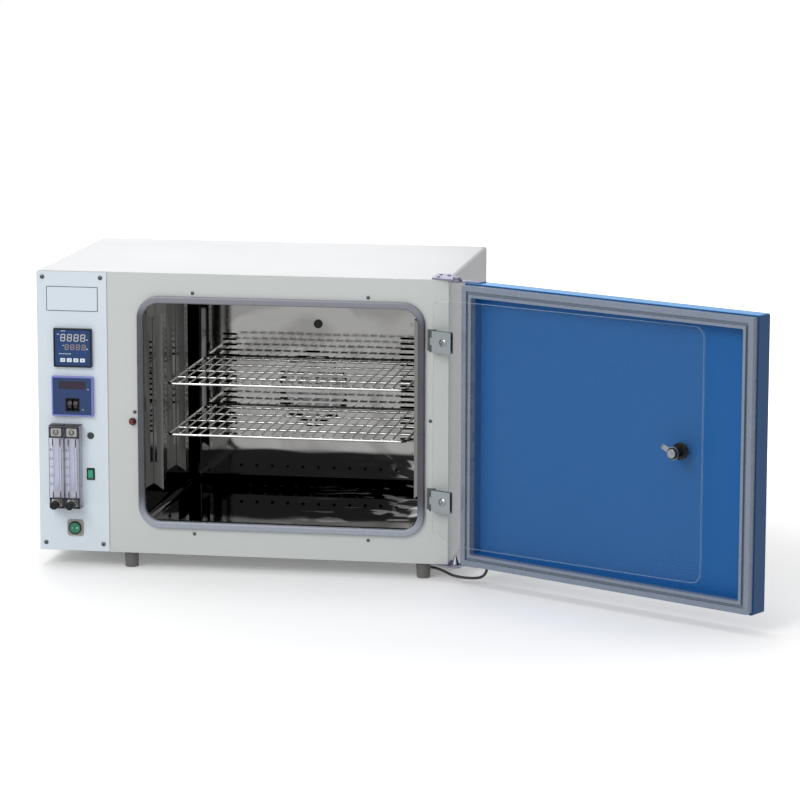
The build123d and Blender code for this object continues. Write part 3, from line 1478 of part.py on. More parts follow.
export_step(door_hinge_brackets.part, "parts/door_hinge_brackets.step")

# Glass door, its clips, bolts and hinge leaves

glass_half = glass_thickness / 2
clip_zs = (clip_lower_z, clip_upper_z)

with BuildPart() as glass_pane:
    with BuildSketch(glass(-glass_half)):
        with BuildLine():
            Line((glass_near, glass_bottom + glass_cut_height),
                 (glass_near, glass_top - glass_near_corner))
            RadiusArc((glass_near, glass_top - glass_near_corner),
                      (glass_near + glass_near_corner, glass_top), glass_near_corner)
            Line((glass_near + glass_near_corner, glass_top), (glass_far - glass_corner, glass_top))
            RadiusArc((glass_far - glass_corner, glass_top),
                      (glass_far, glass_top - glass_corner), glass_corner)
            Line((glass_far, glass_top - glass_corner), (glass_far, glass_bottom + glass_corner))
            RadiusArc((glass_far, glass_bottom + glass_corner),
                      (glass_far - glass_corner, glass_bottom), glass_corner)
            Polyline((glass_far - glass_corner, glass_bottom),
                     (glass_near + glass_cut_width, glass_bottom),
                     (glass_near, glass_bottom + glass_cut_height))
        make_face()
        with Locations(*[(clip_bolt_along, clip_z) for clip_z in clip_zs]):
            Circle(clip_bolt_radius + seat_gap, mode=Mode.SUBTRACT)
        with Locations((latch_along, latch_z)):
            Circle(latch_axle_radius + running_gap, mode=Mode.SUBTRACT)
    extrude(amount=glass_thickness)
glass_pane.part.label = "glass_pane"
export_step(glass_pane.part, "parts/glass_pane.step")

with BuildPart() as glass_clips:
    clip_outer = glass_half + clip_pad + clip_sheet
    clip_start = glass_near - clip_pad
    for clip_z in clip_zs:
        plate(glass(-clip_outer), (clip_start + clip_length) / 2 - clip_barrel_radius / 4, clip_z,
              clip_length - clip_start + clip_barrel_radius / 2, clip_height, 2 * clip_outer)
        plate(glass(-glass_half - clip_pad), clip_start + clip_length / 2, clip_z, clip_length,
              clip_height, glass_thickness + 2 * clip_pad, mode=Mode.SUBTRACT)
        disc(glass(-clip_outer), clip_bolt_along, clip_z, clip_bolt_radius + seat_gap,
             2 * clip_outer, mode=Mode.SUBTRACT)
        barrel_z = clip_z - clip_barrel_share / 2
        disc(flat(glass(0), barrel_z), 0, 0, clip_barrel_radius, clip_barrel_share)
        for cut_z in (clip_z - clip_height / 2, clip_z + clip_barrel_share / 2):
            cut_height = (clip_height - clip_barrel_share) / 2
            plate(flat(glass(0), cut_z), -clip_barrel_radius / 2, 0,
                  3 * clip_barrel_radius + 2 * seat_gap, 4 * clip_barrel_radius,
                  cut_height, mode=Mode.SUBTRACT)
        disc(flat(glass(0), barrel_z), 0, 0, clip_pin_radius + running_gap, clip_barrel_share,
             mode=Mode.SUBTRACT)
glass_clips.part.label = "glass_clips"
export_step(glass_clips.part, "parts/glass_clips.step")

with BuildPart() as clip_bolts:
    for clip_z in clip_zs:
        disc(glass(-clip_outer), clip_bolt_along, clip_z, clip_bolt_radius, 2 * clip_outer)
        disc(glass(clip_outer), clip_bolt_along, clip_z, clip_bolt_head_radius, clip_bolt_head)
        with BuildSketch(glass(-clip_outer)):
            with Locations((clip_bolt_along, clip_z)):
                RegularPolygon(clip_bolt_head_radius, 6)
        extrude(amount=-clip_bolt_head)
    bolt_heads = clip_bolts.faces().sort_by(Axis(glass(0).origin, glass(0).z_dir))[-2:]
    fillet(bolt_heads.edges(), clip_bolt_head * 0.8)
clip_bolts.part.label = "clip_bolts"
export_step(clip_bolts.part, "parts/clip_bolts.step")

with BuildPart() as glass_hinge_leaves:
    leaf_x = glass_pivot_x - leaf_offset
    knuckle_height = (clip_height - clip_barrel_share) / 2 - seat_gap
    for clip_z in clip_zs:
        plate(facing(0), leaf_x, clip_z, leaf_width, clip_height, leaf_sheet)
        for knuckle_z in (clip_z - clip_height / 2, clip_z + clip_barrel_share / 2 + seat_gap):
            disc(level(knuckle_z), glass_pivot_x, glass_pivot_y, clip_barrel_radius,
                 knuckle_height)
            plate(level(knuckle_z), glass_pivot_x, glass_pivot_y / 2, leaf_web, -glass_pivot_y,
                  knuckle_height)
        disc(level(clip_z - clip_height / 2), glass_pivot_x, glass_pivot_y, clip_pin_radius,
             clip_height)
glass_hinge_leaves.part.label = "glass_hinge_leaves"
export_step(glass_hinge_leaves.part, "parts/glass_hinge_leaves.step")

# Latch of the glass door

cam_offset = glass_half + glass_stand_off + frame_sheet + latch_cam_behind

with BuildPart() as latch_knob:
    knob_top = -glass_half - seat_gap
    disc(glass(knob_top), latch_along, latch_z, latch_knob_radius, -latch_knob_height)
    disc(glass(knob_top), latch_along, latch_z, latch_axle_radius, cam_offset - knob_top)
    disc(glass(glass_half + seat_gap), latch_along, latch_z, latch_boss_radius,
         cam_offset - glass_half - seat_gap)
    disc(glass(cam_offset + latch_cam_sheet), latch_along, latch_z, latch_washer_radius,
         latch_washer)
    disc(glass(cam_offset), latch_along, latch_z, latch_axle_radius - latch_seat_step,
         latch_cam_sheet)
    with BuildSketch(glass(knob_top)):
        with Locations((latch_along, latch_z)):
            with PolarLocations(latch_knob_radius, latch_grip_count):
                Circle(latch_grip_radius)
    extrude(amount=-latch_knob_height, mode=Mode.SUBTRACT)
latch_knob.part.label = "latch_knob"
export_step(latch_knob.part, "parts/latch_knob.step")

with BuildPart() as latch_cam:
    cam_turn = math.radians(latch_cam_angle)
    with BuildSketch(glass(cam_offset)):
        with Locations((latch_along, latch_z)):
            Circle(latch_cam_radius)
            with Locations(Rotation(0, 0, latch_cam_angle)):
                Rectangle(latch_cam_reach, latch_cam_width, align=(Align.MIN, Align.CENTER))
            Circle(latch_axle_radius - latch_seat_step + running_gap, mode=Mode.SUBTRACT)
    extrude(amount=latch_cam_sheet)
    tip_along = latch_along + (latch_cam_reach - latch_cam_sheet / 2) * math.cos(cam_turn)
    tip_z = latch_z + (latch_cam_reach - latch_cam_sheet / 2) * math.sin(cam_turn)
    with BuildSketch(glass(cam_offset)):
        with Locations(Location((tip_along, tip_z, 0), (0, 0, latch_cam_angle))):
            Rectangle(latch_cam_sheet, latch_cam_width)
    extrude(amount=latch_cam_tip)
    screw_seat = cam_offset + latch_cam_sheet + latch_washer
    disc(glass(screw_seat), latch_along, latch_z, latch_screw_radius, latch_screw_head)
    fillet(latch_cam.faces().sort_by(Axis(glass(0).origin, glass(0).z_dir))[-1].edges(),
           latch_screw_head * 0.6)
latch_cam.part.label = "latch_cam"
export_step(latch_cam.part, "parts/latch_cam.step")

# Heater lead of the outer door

lead_entry = door(-lead_outward).origin + door(0).x_dir * lead_along - level(0).origin
lead_gland = Vector(lead_start_x, lead_start_y, frame_sheet + 1.5)
lead_socket = Vector(lead_entry.X, lead_entry.Y, door_shell_bottom + door_sheet + 0.6)
pivot_spot = Vector(door_pivot_x, door_pivot_y, 0)


def upright_end(top, level_heading):
    """Five points from an upright end down into a level run, in three bends of 30 degrees."""
    down = Vector(0, 0, -1)
    first = top + down * lead_end_run
    second = first + (down * math.cos(math.pi / 6) + level_heading * 0.5) * lead_bend_run
    third = second + (down * 0.5 + level_heading * math.cos(math.pi / 6)) * lead_bend_run
    return [top, first, second, third, third + level_heading * lead_free_run]


lead_back_run = (pivot_spot - lead_gland) * 0.5 + Vector(-8, 0, 0)
gland_heading = Vector(lead_back_run.X, lead_back_run.Y, 0).normalized()
socket_heading = Vector(-1, -0.25, 0).normalized()
gland_end = upright_end(lead_gland, gland_heading)
socket_end = upright_end(lead_socket, socket_heading)
lead_level = gland_end[-1].Z
lead_middle = [
    Vector(pivot_spot.X - 54, pivot_spot.Y + 69, lead_level + 0.2),
    Vector(pivot_spot.X - 37, pivot_spot.Y + 54, lead_level + 0.4),
    Vector(pivot_spot.X - 21, pivot_spot.Y + 27, lead_level + 0.9),
    Vector(pivot_spot.X - 1, pivot_spot.Y - 3, lead_level + 1.2),
]
lead_route = [tuple(point) for point in gland_end + lead_middle + socket_end[::-1]]


def corner_radii(points):
    """For each inner point, 0.45 of its shorter run over the tangent of half the turn there."""
    lengths = [(Vector(*end) - Vector(*begin)).length for begin, end in zip(points, points[1:])]
    radii = []
    for index in range(1, len(points) - 1):
        before = Vector(*points[index]) - Vector(*points[index - 1])
        after = Vector(*points[index + 1]) - Vector(*points[index])
        half_turn = math.radians(before.get_angle(after)) / 2
        shorter = min(lengths[index - 1], lengths[index])
        radii.append(0.45 * shorter / math.tan(half_turn))
    return radii


print("lead radii over diameter", [round(r / lead_radius / 2, 1) for r in corner_radii(lead_route)])

with BuildPart() as door_lead:
    with BuildLine(level(0)) as lead_path:
        FilletPolyline(*lead_route, radius=corner_radii(lead_route))
    with BuildSketch(Plane(origin=lead_path.line @ 0, z_dir=lead_path.line % 0)):
        Circle(lead_radius)
    sweep(path=lead_path.line)
door_lead.part.label = "door_lead"
export_step(door_lead.part, "parts/door_lead.step")
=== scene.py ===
import bmesh
import bpy
import math
import numpy as np
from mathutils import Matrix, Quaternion, Vector
from mathutils.geometry import tessellate_polygon


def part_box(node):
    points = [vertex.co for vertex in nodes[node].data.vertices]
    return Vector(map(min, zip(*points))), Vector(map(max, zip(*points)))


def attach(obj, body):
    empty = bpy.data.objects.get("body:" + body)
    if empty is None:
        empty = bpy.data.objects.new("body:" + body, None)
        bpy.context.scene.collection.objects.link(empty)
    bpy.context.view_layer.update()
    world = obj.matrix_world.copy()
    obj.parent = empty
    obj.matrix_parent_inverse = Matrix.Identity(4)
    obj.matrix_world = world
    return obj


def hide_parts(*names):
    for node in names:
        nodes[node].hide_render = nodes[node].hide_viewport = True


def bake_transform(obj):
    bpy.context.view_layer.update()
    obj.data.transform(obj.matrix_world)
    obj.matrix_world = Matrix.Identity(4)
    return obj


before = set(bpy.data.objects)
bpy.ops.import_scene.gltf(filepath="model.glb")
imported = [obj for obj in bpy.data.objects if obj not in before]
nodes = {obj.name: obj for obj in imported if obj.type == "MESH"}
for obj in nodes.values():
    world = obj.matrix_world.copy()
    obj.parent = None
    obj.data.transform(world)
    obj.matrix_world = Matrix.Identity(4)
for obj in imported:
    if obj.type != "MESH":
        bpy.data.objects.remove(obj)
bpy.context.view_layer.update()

MM = 0.001
corner = np.array(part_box("front_frame")[0])

# Sizes that the Blender pieces share with the CAD model, in millimetres. X, y and z count from the
# cabinet's front lower left corner, and y grows towards the back.

CABINET_DEPTH = 484.0
FOOT_HEIGHT = 30.0
FOOT_XS, FOOT_YS = (170.0, 721.0), (22.0, 439.0)

PANEL_FRONT = -2.0
PLATE_X, PLATE_Z, PLATE_PROUD = 68.2, 474.0, 0.6
THERMO_X, THERMO_Z, THERMO_FACE = 69.5, 383.5, -8.0
KEY_Z, KEY_PITCH, KEY_PROUD = 360.7, 12.5, 1.0
GAS_X, GAS_Z, GAS_FACE = 68.0, 293.0, -8.5
WINDOW_Z, WINDOW_RECESS = 313.5, 1.0
WHEEL_XS, WHEEL_Z, WHEEL_RADIUS, WHEEL_PROUD = (62.5, 73.5), 277.0, 11.0, 0.6
METER_XS, METER_FRONT = (40.0, 69.8), -24.0
METER_PLATE_Z, VALVE_Z = 227.5, 93.5
VALVE_STEM, VALVE_KNOB = 10.0, 16.0
POWER_X, POWER_Z, POWER_RING_FRONT = 68.9, 44.5, -6.5
ROCKER_Y, ROCKER_THICKNESS, ROCKER_TILT = -5.2, 5.0, math.radians(7.0)
LAMP_X, LAMP_Z = 100.0, 219.0

# The doors: along counts from the pivot towards the free edge
DOOR_PIVOT, DOOR_TURN = (785.0, -8.0, 0.0), math.radians(29.5)
DOOR_LIP_PLANE, DOOR_GASKET, DOOR_SHELL = 7.7, 13.0, 34.0
DOOR_LIP_START, DOOR_LIP_WIDTH = 17.0, 624.0
HANDLE_INBOARD, HANDLE_ZS = 90.0, (199.0, 327.0)
BRACKET_TOP = 529.0
GLASS_PIVOT, GLASS_TURN = (740.0, -14.8, 0.0), math.radians(26.5)
GLASS_THICKNESS = 5.0
PANE_NEAR, PANE_FAR, PANE_LOW, PANE_HIGH = 4.2, 573.0, 43.0, 493.0
PANE_NEAR_CORNER, PANE_FAR_CORNER = 16.0, 20.0
PANE_CUT_WIDTH, PANE_CUT_HEIGHT = 32.0, 21.0
CLIP_ALONG, CLIP_ZS = 28.5, (122.0, 415.5)
LATCH_ALONG, LATCH_Z, LATCH_TOP = 523.5, 271.0, 23.5

# Places in the row frame, in metres, where painted shade and reflection on the chamber's steel begin
DUCT_FRONT = 0.2835
DUCT_PAINTED_DARK, DUCT_PAINTED_DARK_FADE = 0.158, 0.006


def spot(x, y, z):
    """A place counted from the cabinet's front lower left corner, in metres in the row frame."""
    return np.array([x, y, z], float) * MM + corner


class Seat:
    """A flat seat for small pieces: where it is, which way is right on it, and where it faces."""

    def __init__(self, origin, right, out):
        self.origin = np.array(origin, float)
        self.right = np.array(right, float)
        self.out = np.array(out, float)
        self.up = np.cross(self.out, self.right)

    def place(self, points):
        """Turns points, as millimetres right, up and out of the seat, into metres in the row frame."""
        points = np.asarray(points, float) * MM
        axes = np.stack([self.right, self.up, self.out])
        return points @ axes + self.origin


def facing(y):
    """The seat on an upright plane of the cabinet at this depth, seen from the front."""
    return Seat(spot(0, y, 0), (1, 0, 0), (0, -1, 0))


def behind(y):
    """The seat on an upright plane of the cabinet at this depth, seen from the back."""
    return Seat(spot(0, y, 0), (-1, 0, 0), (0, 1, 0))


def level(z):
    """The seat on a level plane of the cabinet at this height, seen from above."""
    return Seat(spot(0, 0, z), (1, 0, 0), (0, 0, 1))


def leaf(pivot, turn, offset):
    """The seat on an open door, this far inside its pivot, facing the side that meets the cabinet."""
    inward = np.array([-math.sin(turn), -math.cos(turn), 0.0])
    right = np.array([math.cos(turn), -math.sin(turn), 0.0])
    return Seat(spot(*pivot) + inward * offset * MM, right, inward)


def glass(offset):
    """The seat on the open glass door, this far from the middle of the pane."""
    return leaf(GLASS_PIVOT, GLASS_TURN, offset)


# Materials

def tone(red, green, blue):
    """A colour as it looks on a screen, 0 to 255, turned into linear light."""
    parts = np.array([red, green, blue]) / 255.0
    linear = np.where(parts <= 0.04045, parts / 12.92, ((parts + 0.055) / 1.055) ** 2.4)
    return (*linear.tolist(), 1.0)


def grey(amount):
    """A neutral colour in linear light."""
    return (amount, amount, amount, 1)


def shade(colour, factor):
    """A colour made darker or lighter, kept within what a surface can show."""
    return tuple(min(1.0, part * factor) for part in colour[:3]) + (1.0,)


class Wire:
    """A shader socket. Each operator on it adds the Math node that does the same."""

    def __init__(self, graph, socket):
        self.graph = graph
        self.socket = socket

    def maths(self, operation, first, second):
        return self.graph.add("ShaderNodeMath", {"operation": operation}, {0: first, 1: second})

    def __add__(self, other):
        return self.maths("ADD", self, other)

    def __radd__(self, other):
        return self.maths("ADD", other, self)

    def __sub__(self, other):
        return self.maths("SUBTRACT", self, other)

    def __rsub__(self, other):
        return self.maths("SUBTRACT", other, self)

    def __mul__(self, other):
        return self.maths("MULTIPLY", self, other)

    def __rmul__(self, other):
        return self.maths("MULTIPLY", other, self)

    def __gt__(self, other):
        return self.maths("GREATER_THAN", self, other)

    def __lt__(self, other):
        return self.maths("LESS_THAN", self, other)

    def __or__(self, other):
        """The larger of the two, which for shares of nought and one is either."""
        return self.maths("MAXIMUM", self, other)

    def __ror__(self, other):
        return self.maths("MAXIMUM", other, self)


class Graph:
    """A tree of shader nodes, with the one method that adds any node to it."""

    def __init__(self, tree):
        self.tree = tree

    def add(self, kind, settings, values, output=0):
        """Adds a node of this kind: its settings first, then the values or links of its sockets."""
        node = self.tree.nodes.new(kind)
        for name, value in settings.items():
            setattr(node, name, value)
        for name, value in values.items():
            self.set_input(node, name, value)
        return Wire(self, node.outputs[output])

    def set_input(self, node, name, value):
        """Sets a socket of the node, or links a wire to it."""
        if isinstance(value, Wire):
            self.tree.links.new(value.socket, node.inputs[name])
        else:
            node.inputs[name].default_value = value

    def ray_share(self, *kinds):
        """One for rays of these kinds and nought for others."""
        share = self.add("ShaderNodeLightPath", {}, {}, kinds[0])
        for kind in kinds[1:]:
            share = share | self.add("ShaderNodeLightPath", {}, {}, kind)
        return share


class Finish(Graph):
    """A material, with short methods for what most finishes share."""

    def __init__(self, name, colour, rough, **constants):
        self.material = bpy.data.materials.new(name)
        self.material.use_nodes = True
        super().__init__(self.material.node_tree)
        self.shader = self.tree.nodes["Principled BSDF"]
        self.feed("Base Color", colour)
        self.feed("Roughness", rough)
        for socket, value in constants.items():
            self.feed(socket.replace("_", " "), value)
        self.place = self.add("ShaderNodeTexCoord", {}, {}, "Object")

    def feed(self, socket, value):
        """Sets a socket of the material's shader, or links a wire to it."""
        self.set_input(self.shader, socket, value)

    def noise(self, scale, detail, stretch=(1, 1, 1), rough=0.5):
        """Noise on the object's own place, with features of about one over scale metres."""
        where = self.add("ShaderNodeMapping", {}, {"Vector": self.place, "Scale": stretch})
        return self.add("ShaderNodeTexNoise", {}, {
            "Vector": where, "Scale": scale, "Detail": detail, "Roughness": rough})

    def blend(self, share, first, second):
        """The first colour where share is nought and the second where it is one."""
        return self.add("ShaderNodeMix", {"data_type": "RGBA", "clamp_factor": True},
                        {0: share, 6: first, 7: second}, 2)

    def climb(self, value, low, high):
        """Nought below the lower limit, one above the upper, and a smooth rise between them."""
        return self.add("ShaderNodeMapRange", {"interpolation_type": "SMOOTHSTEP"}, {
            "Value": value, "From Min": low, "From Max": high})

    def along(self, axis):
        """One coordinate of the object's own place, in metres."""
        return self.add("ShaderNodeSeparateXYZ", {}, {0: self.place}, axis)

    def emboss(self, height, strength, distance, round_edge=0.0):
        """Feeds a bump of this height to the shader, over edges rounded by a radius in metres."""
        values = {"Height": height, "Strength": strength, "Distance": distance}
        if round_edge:
            values["Normal"] = self.add("ShaderNodeBevel", {"samples": 4}, {"Radius": round_edge})
        self.feed("Normal", self.add("ShaderNodeBump", {}, values))


# Axes of a place, and the radii in metres by which the finishes round the edges of pieces
ACROSS, INTO, UP = 0, 1, 2
TURNED_EDGE, SHEET_EDGE, RUBBER_EDGE, PAINTED_EDGE = 0.0003, 0.0004, 0.0005, 0.0008


def paint(name, colour, rough=0.36, edge=PAINTED_EDGE, shine=0.35, painted_top_highlight=None):
    """Stoved paint: slight clouding, fine orange peel, faint scuffs, and a painted highlight along the
    top if given.
    """
    finish = Finish(name, colour, rough, Specular_IOR_Level=shine)
    cloud = finish.noise(5.0, 3.0)
    scuff = finish.noise(60.0, 5.0, (1, 1, 3), 0.7)
    coat = finish.blend(cloud * 0.7 + scuff * 0.06, shade(colour, 1.03), shade(colour, 0.96))
    # Painted highlight: a paler colour over the top of the piece, where the top lamp falls.
    if painted_top_highlight:
        height, pale = painted_top_highlight
        top = finish.climb(finish.along(UP), height - 0.0012, height - 0.0006)
        coat = finish.blend(top, coat, pale)
    finish.feed("Base Color", coat)
    finish.feed("Roughness", rough + (scuff - 0.5) * 0.04 + (cloud - 0.5) * 0.06)
    finish.emboss(finish.noise(700.0, 1.0), 0.02, 0.0004, edge)
    return finish.material


def sheet_steel(name, colour, rough, stretch, grain, wave=0.0, smear=0.10):
    """Bare steel: rolling lines one way, finger smears in the gloss, a slow wave in the sheet."""
    finish = Finish(name, colour, rough, Metallic=1.0)
    lines = finish.noise(900.0, 2.0, stretch, 0.6)
    smears = finish.noise(9.0, 4.0, (1, 1, 1), 0.6)
    finish.feed("Base Color", finish.blend(smears, shade(colour, 1.04), shade(colour, 0.90)))
    finish.feed("Roughness", rough + (lines - 0.5) * grain + (smears - 0.5) * smear)
    finish.emboss(lines * 0.004 + finish.noise(7.0, 1.0) * wave, 0.35, 0.004, SHEET_EDGE)
    return finish.material


def mirror(name, rough):
    """Polished sheet that is a little wavy, with wiping marks in the gloss."""
    finish = Finish(name, grey(0.4), rough, Metallic=1.0)
    wiped = finish.noise(30.0, 4.0, (1, 1, 4), 0.6)
    finish.feed("Roughness", rough + (wiped - 0.5) * 0.03)
    finish.emboss(finish.noise(5.0, 1.0), 0.20, 0.003, SHEET_EDGE)
    return finish


def crooked(finish, stretch, scale, low, high):
    """Soft crooked bands, nought below the lower level of the noise and one above the upper."""
    bend, bend_reach = finish.noise(2.6, 2.0), (0.5, 0.5, 0.5)
    where = finish.add("ShaderNodeVectorMath", {"operation": "MULTIPLY_ADD"}, {
        0: finish.add("ShaderNodeCombineXYZ", {}, {0: bend, 1: bend, 2: bend}),
        1: bend_reach, 2: finish.place})
    mapped = finish.add("ShaderNodeMapping", {}, {"Vector": where, "Scale": stretch})
    bands = finish.add("ShaderNodeTexNoise", {}, {
        "Vector": mapped, "Scale": scale, "Detail": 1.5, "Roughness": 0.4})
    return finish.climb(bands, low, high)


def wall_mirror(name):
    """Chamber walls: painted reflections in upright bands that fade out towards the floor, and painted
    shade, nearly black, behind the duct.
    """
    finish = mirror(name, 0.05)
    # Painted reflections: crooked upright bands of dark and pale, fading to the dark tone towards the
    # floor.
    bands = crooked(finish, (0, 1, 0), 26.0, 0.42, 0.58)
    bands = bands * finish.climb(finish.along(UP), 0.08, 0.34)
    walls = finish.blend(bands, (0.025, 0.025, 0.027, 1), (0.13, 0.13, 0.135, 1))
    # Painted shade: nearly black behind the front of the duct panel.
    finish.feed("Base Color", finish.blend(finish.along(INTO) > DUCT_FRONT, walls, grey(0.012)))
    return finish.material


def floor_mirror(name):
    """Chamber floor: painted nearly black for a dark reflection, with painted highlights as bright
    crooked streaks towards its right end.
    """
    finish = mirror(name, 0.04)
    painted_highlights = crooked(finish, (1, 2.4, 1), 12.0, 0.55, 0.61)
    painted_highlights = painted_highlights * finish.climb(finish.along(ACROSS), -0.30, 0.0)
    # Painted reflection and highlights: a nearly black base, and bright, less metallic streaks
    # standing for glints.
    finish.feed("Base Color", finish.blend(painted_highlights, (0.03, 0.03, 0.031, 1), (0.88, 0.88, 0.89, 1)))
    finish.feed("Metallic", 1.0 - painted_highlights * 0.75)
    return finish.material


def duct_mirror(name):
    """Duct panel: clouded steel above, and a painted dark reflection on its crooked foot, with painted
    highlights as paler streaks at its right.
    """
    finish = mirror(name, 0.06)
    cloud = crooked(finish, (1, 1, 2.5), 7.0, 0.40, 0.60)
    plain = finish.blend(cloud, (0.26, 0.257, 0.25, 1), (0.34, 0.337, 0.33, 1))
    edge = finish.along(UP) + (finish.noise(5.0, 1.0, (1, 0, 0)) - 0.5) * 0.03
    painted_highlights = crooked(finish, (1, 1, 2.4), 14.0, 0.52, 0.58)
    painted_highlights = painted_highlights * finish.climb(finish.along(ACROSS), -0.12, 0.0)
    # Painted reflection on the foot: nearly black, with paler streaks standing for highlights.
    foot = finish.blend(painted_highlights, grey(0.03), grey(0.45))
    above = finish.climb(edge, DUCT_PAINTED_DARK, DUCT_PAINTED_DARK + DUCT_PAINTED_DARK_FADE)
    finish.feed("Base Color", finish.blend(above, foot, plain))
    return finish.material


def rubber(name, colour, rough, bloom=0.25):
    """Moulded rubber: dusty bloom in patches over a fine grain."""
    finish = Finish(name, colour, rough)
    dust = finish.noise(28.0, 4.0, (1, 1, 1), 0.6)
    clean, dusty = shade(colour, 1.0 - bloom * 0.4), shade(colour, 1.0 + bloom)
    finish.feed("Base Color", finish.blend(dust, clean, dusty))
    finish.feed("Roughness", rough + (dust - 0.5) * 0.25)
    finish.emboss(finish.noise(1500.0, 2.0), 0.12, 0.0002, RUBBER_EDGE)
    return finish.material


def seal_rubber(name):
    """Silicone seal round the chamber, with painted light and shade: palest along its lit foot, paler
    along its top, and darkest up its shaded sides.
    """
    finish = Finish(name, (0.1, 0.1, 0.11, 1), 0.3)
    # Painted light and shade by height: a pale lit foot, a paler top run, dark shaded sides.
    upper = finish.climb(finish.along(UP), 0.085, 0.15)
    lit_top_run = finish.climb(finish.along(UP), 0.47, 0.50)
    shaded_sides = finish.blend(lit_top_run, tone(62, 64, 71), tone(124, 125, 134))
    dust = finish.noise(28.0, 4.0, (1, 1, 1), 0.6)
    finish.feed("Base Color", finish.blend(upper - dust * 0.1, tone(150, 156, 168), shaded_sides))
    finish.feed("Roughness", 0.3 + (dust - 0.5) * 0.2)
    finish.emboss(finish.noise(1500.0, 2.0), 0.10, 0.0002, RUBBER_EDGE)
    return finish.material


def plastic(name, colour, rough, grain=0.08, **constants):
    """Moulded plastic: fine spark texture and a faint sheen where hands have rubbed it."""
    finish = Finish(name, colour, rough, **constants)
    rubbed = finish.noise(70.0, 3.0)
    finish.feed("Base Color", finish.blend(rubbed, shade(colour, 0.94), shade(colour, 1.08)))
    finish.feed("Roughness", rough + (rubbed - 0.5) * 0.14)
    finish.emboss(finish.noise(2200.0, 1.0), grain, 0.00015, SHEET_EDGE)
    return finish.material


def plated(name, colour, rough, **constants):
    """Bright plating: nearly a mirror, with small pits and clouded patches."""
    finish = Finish(name, colour, rough, Metallic=1.0, **constants)
    haze = finish.noise(160.0, 4.0, (1, 1, 1), 0.65)
    finish.feed("Base Color", finish.blend(haze, colour, shade(colour, 0.86)))
    finish.feed("Roughness", rough + haze * 0.12)
    finish.emboss(finish.noise(1200.0, 2.0), 0.05, 0.0002, TURNED_EDGE)
    return finish.material


def wool(name, colour):
    """Mineral wool: matted fibres."""
    finish = Finish(name, colour, 0.95)
    fibres = finish.noise(300.0, 6.0, (1, 3, 1), 0.8)
    finish.feed("Base Color", finish.blend(fibres, shade(colour, 0.75), shade(colour, 1.15)))
    finish.emboss(fibres, 0.9, 0.002)
    return finish.material


def clear(name, colour, alpha, rough=0.03):
    """Clear sheet: the same thin tint all over, with faint wiping marks in the gloss."""
    finish = Finish(name, colour, rough, Alpha=alpha)
    wiped = finish.noise(14.0, 4.0, (1, 1, 4), 0.6)
    finish.feed("Roughness", rough + wiped * 0.05)
    finish.feed("Base Color", finish.blend(wiped, shade(colour, 0.97), shade(colour, 1.03)))
    return finish.material


def lit(name, colour, glow, strength):
    """A display element: moulded face with a faint painted glow; the display itself is unlit."""
    finish = Finish(name, colour, 0.35, Emission_Strength=strength)
    depth = finish.noise(900.0, 2.0)
    finish.feed("Base Color", finish.blend(depth, shade(colour, 0.9), shade(colour, 1.1)))
    finish.feed("Emission Color", glow)
    return finish.material


# Painted sheet
door_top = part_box("door_shell")[1][2]
grey_paint = paint("grey cabinet paint", tone(194, 198, 196))
# Painted shade: the cover has the cabinet's paint, set darker here against the strong top lamp.
shaded_cover_paint = paint("cover paint, a shaded copy of the cabinet paint", tone(183, 185, 188), shine=0.15)
panel_paint = paint("pale panel paint", tone(208, 218, 226), 0.40, edge=0.0006)
# The door shell's top is painted paler blue: a painted highlight where light falls on it.
blue_paint = paint("blue door paint", tone(20, 72, 122), 0.34, edge=0.0012, shine=0.22,
                   painted_top_highlight=(door_top, tone(66, 146, 210)))
blue_pan_paint = paint("blue pan paint", tone(26, 91, 154), 0.42, shine=0.2)
motor_black = paint("motor enamel", tone(44, 44, 46), 0.4)

# Bare and plated metal
wall_steel = wall_mirror("mirror polished walls")
floor_steel = floor_mirror("mirror polished floor")
duct_steel = duct_mirror("mirror polished duct panel")
rack_steel = sheet_steel("folded rack steel", (0.22, 0.217, 0.21, 1), 0.20, (1, 1, 40), 0.08, 0.02)
zinc = sheet_steel("zinc plate", (0.31, 0.345, 0.36, 1), 0.34, (1, 1, 12), 0.10, 0.02, 0.16)
# Painted shade: the clips' zinc made darker for the glass door's hinge knuckles, which sit in shade.
shaded_zinc = sheet_steel("zinc plate darkened as shade", (0.10, 0.11, 0.11, 1), 0.36, (1, 1, 12), 0.10, 0.02,
                        0.16)
brushed_aluminium = sheet_steel("brushed aluminium", (0.60, 0.61, 0.62, 1), 0.28, (1, 1, 40), 0.12)
heater_steel = sheet_steel("blued heater tube", (0.30, 0.27, 0.26, 1), 0.35, (1, 1, 1), 0.2)
wire_steel = plated("polished shelf wire", (0.62, 0.62, 0.61, 1), 0.13)
# Painted reflection: this plating and the screw plating are darker than the metal is, standing for
# dark surroundings mirrored in them.
chrome = plated("bright plating", (0.24, 0.24, 0.30, 1), 0.16,
                Specular_Tint=(0.52, 0.52, 0.62, 1))
screw_steel = plated("screw plating", (0.13, 0.135, 0.15, 1), 0.15)
bolt_steel = plated("bright screw", (0.30, 0.31, 0.33, 1), 0.12)
ring_steel = plated("dark plated ring", (0.10, 0.055, 0.05, 1), 0.16)
nickel = plated("nickel plate", (0.40, 0.39, 0.36, 1), 0.22)

# Rubber
door_rubber = rubber("door seal rubber", tone(118, 129, 146), 0.28, 0.10)
chamber_rubber = seal_rubber("chamber seal rubber")
foot_rubber = rubber("foot rubber", tone(92, 92, 90), 0.6)
lead_rubber = rubber("lead rubber", tone(30, 30, 32), 0.5)

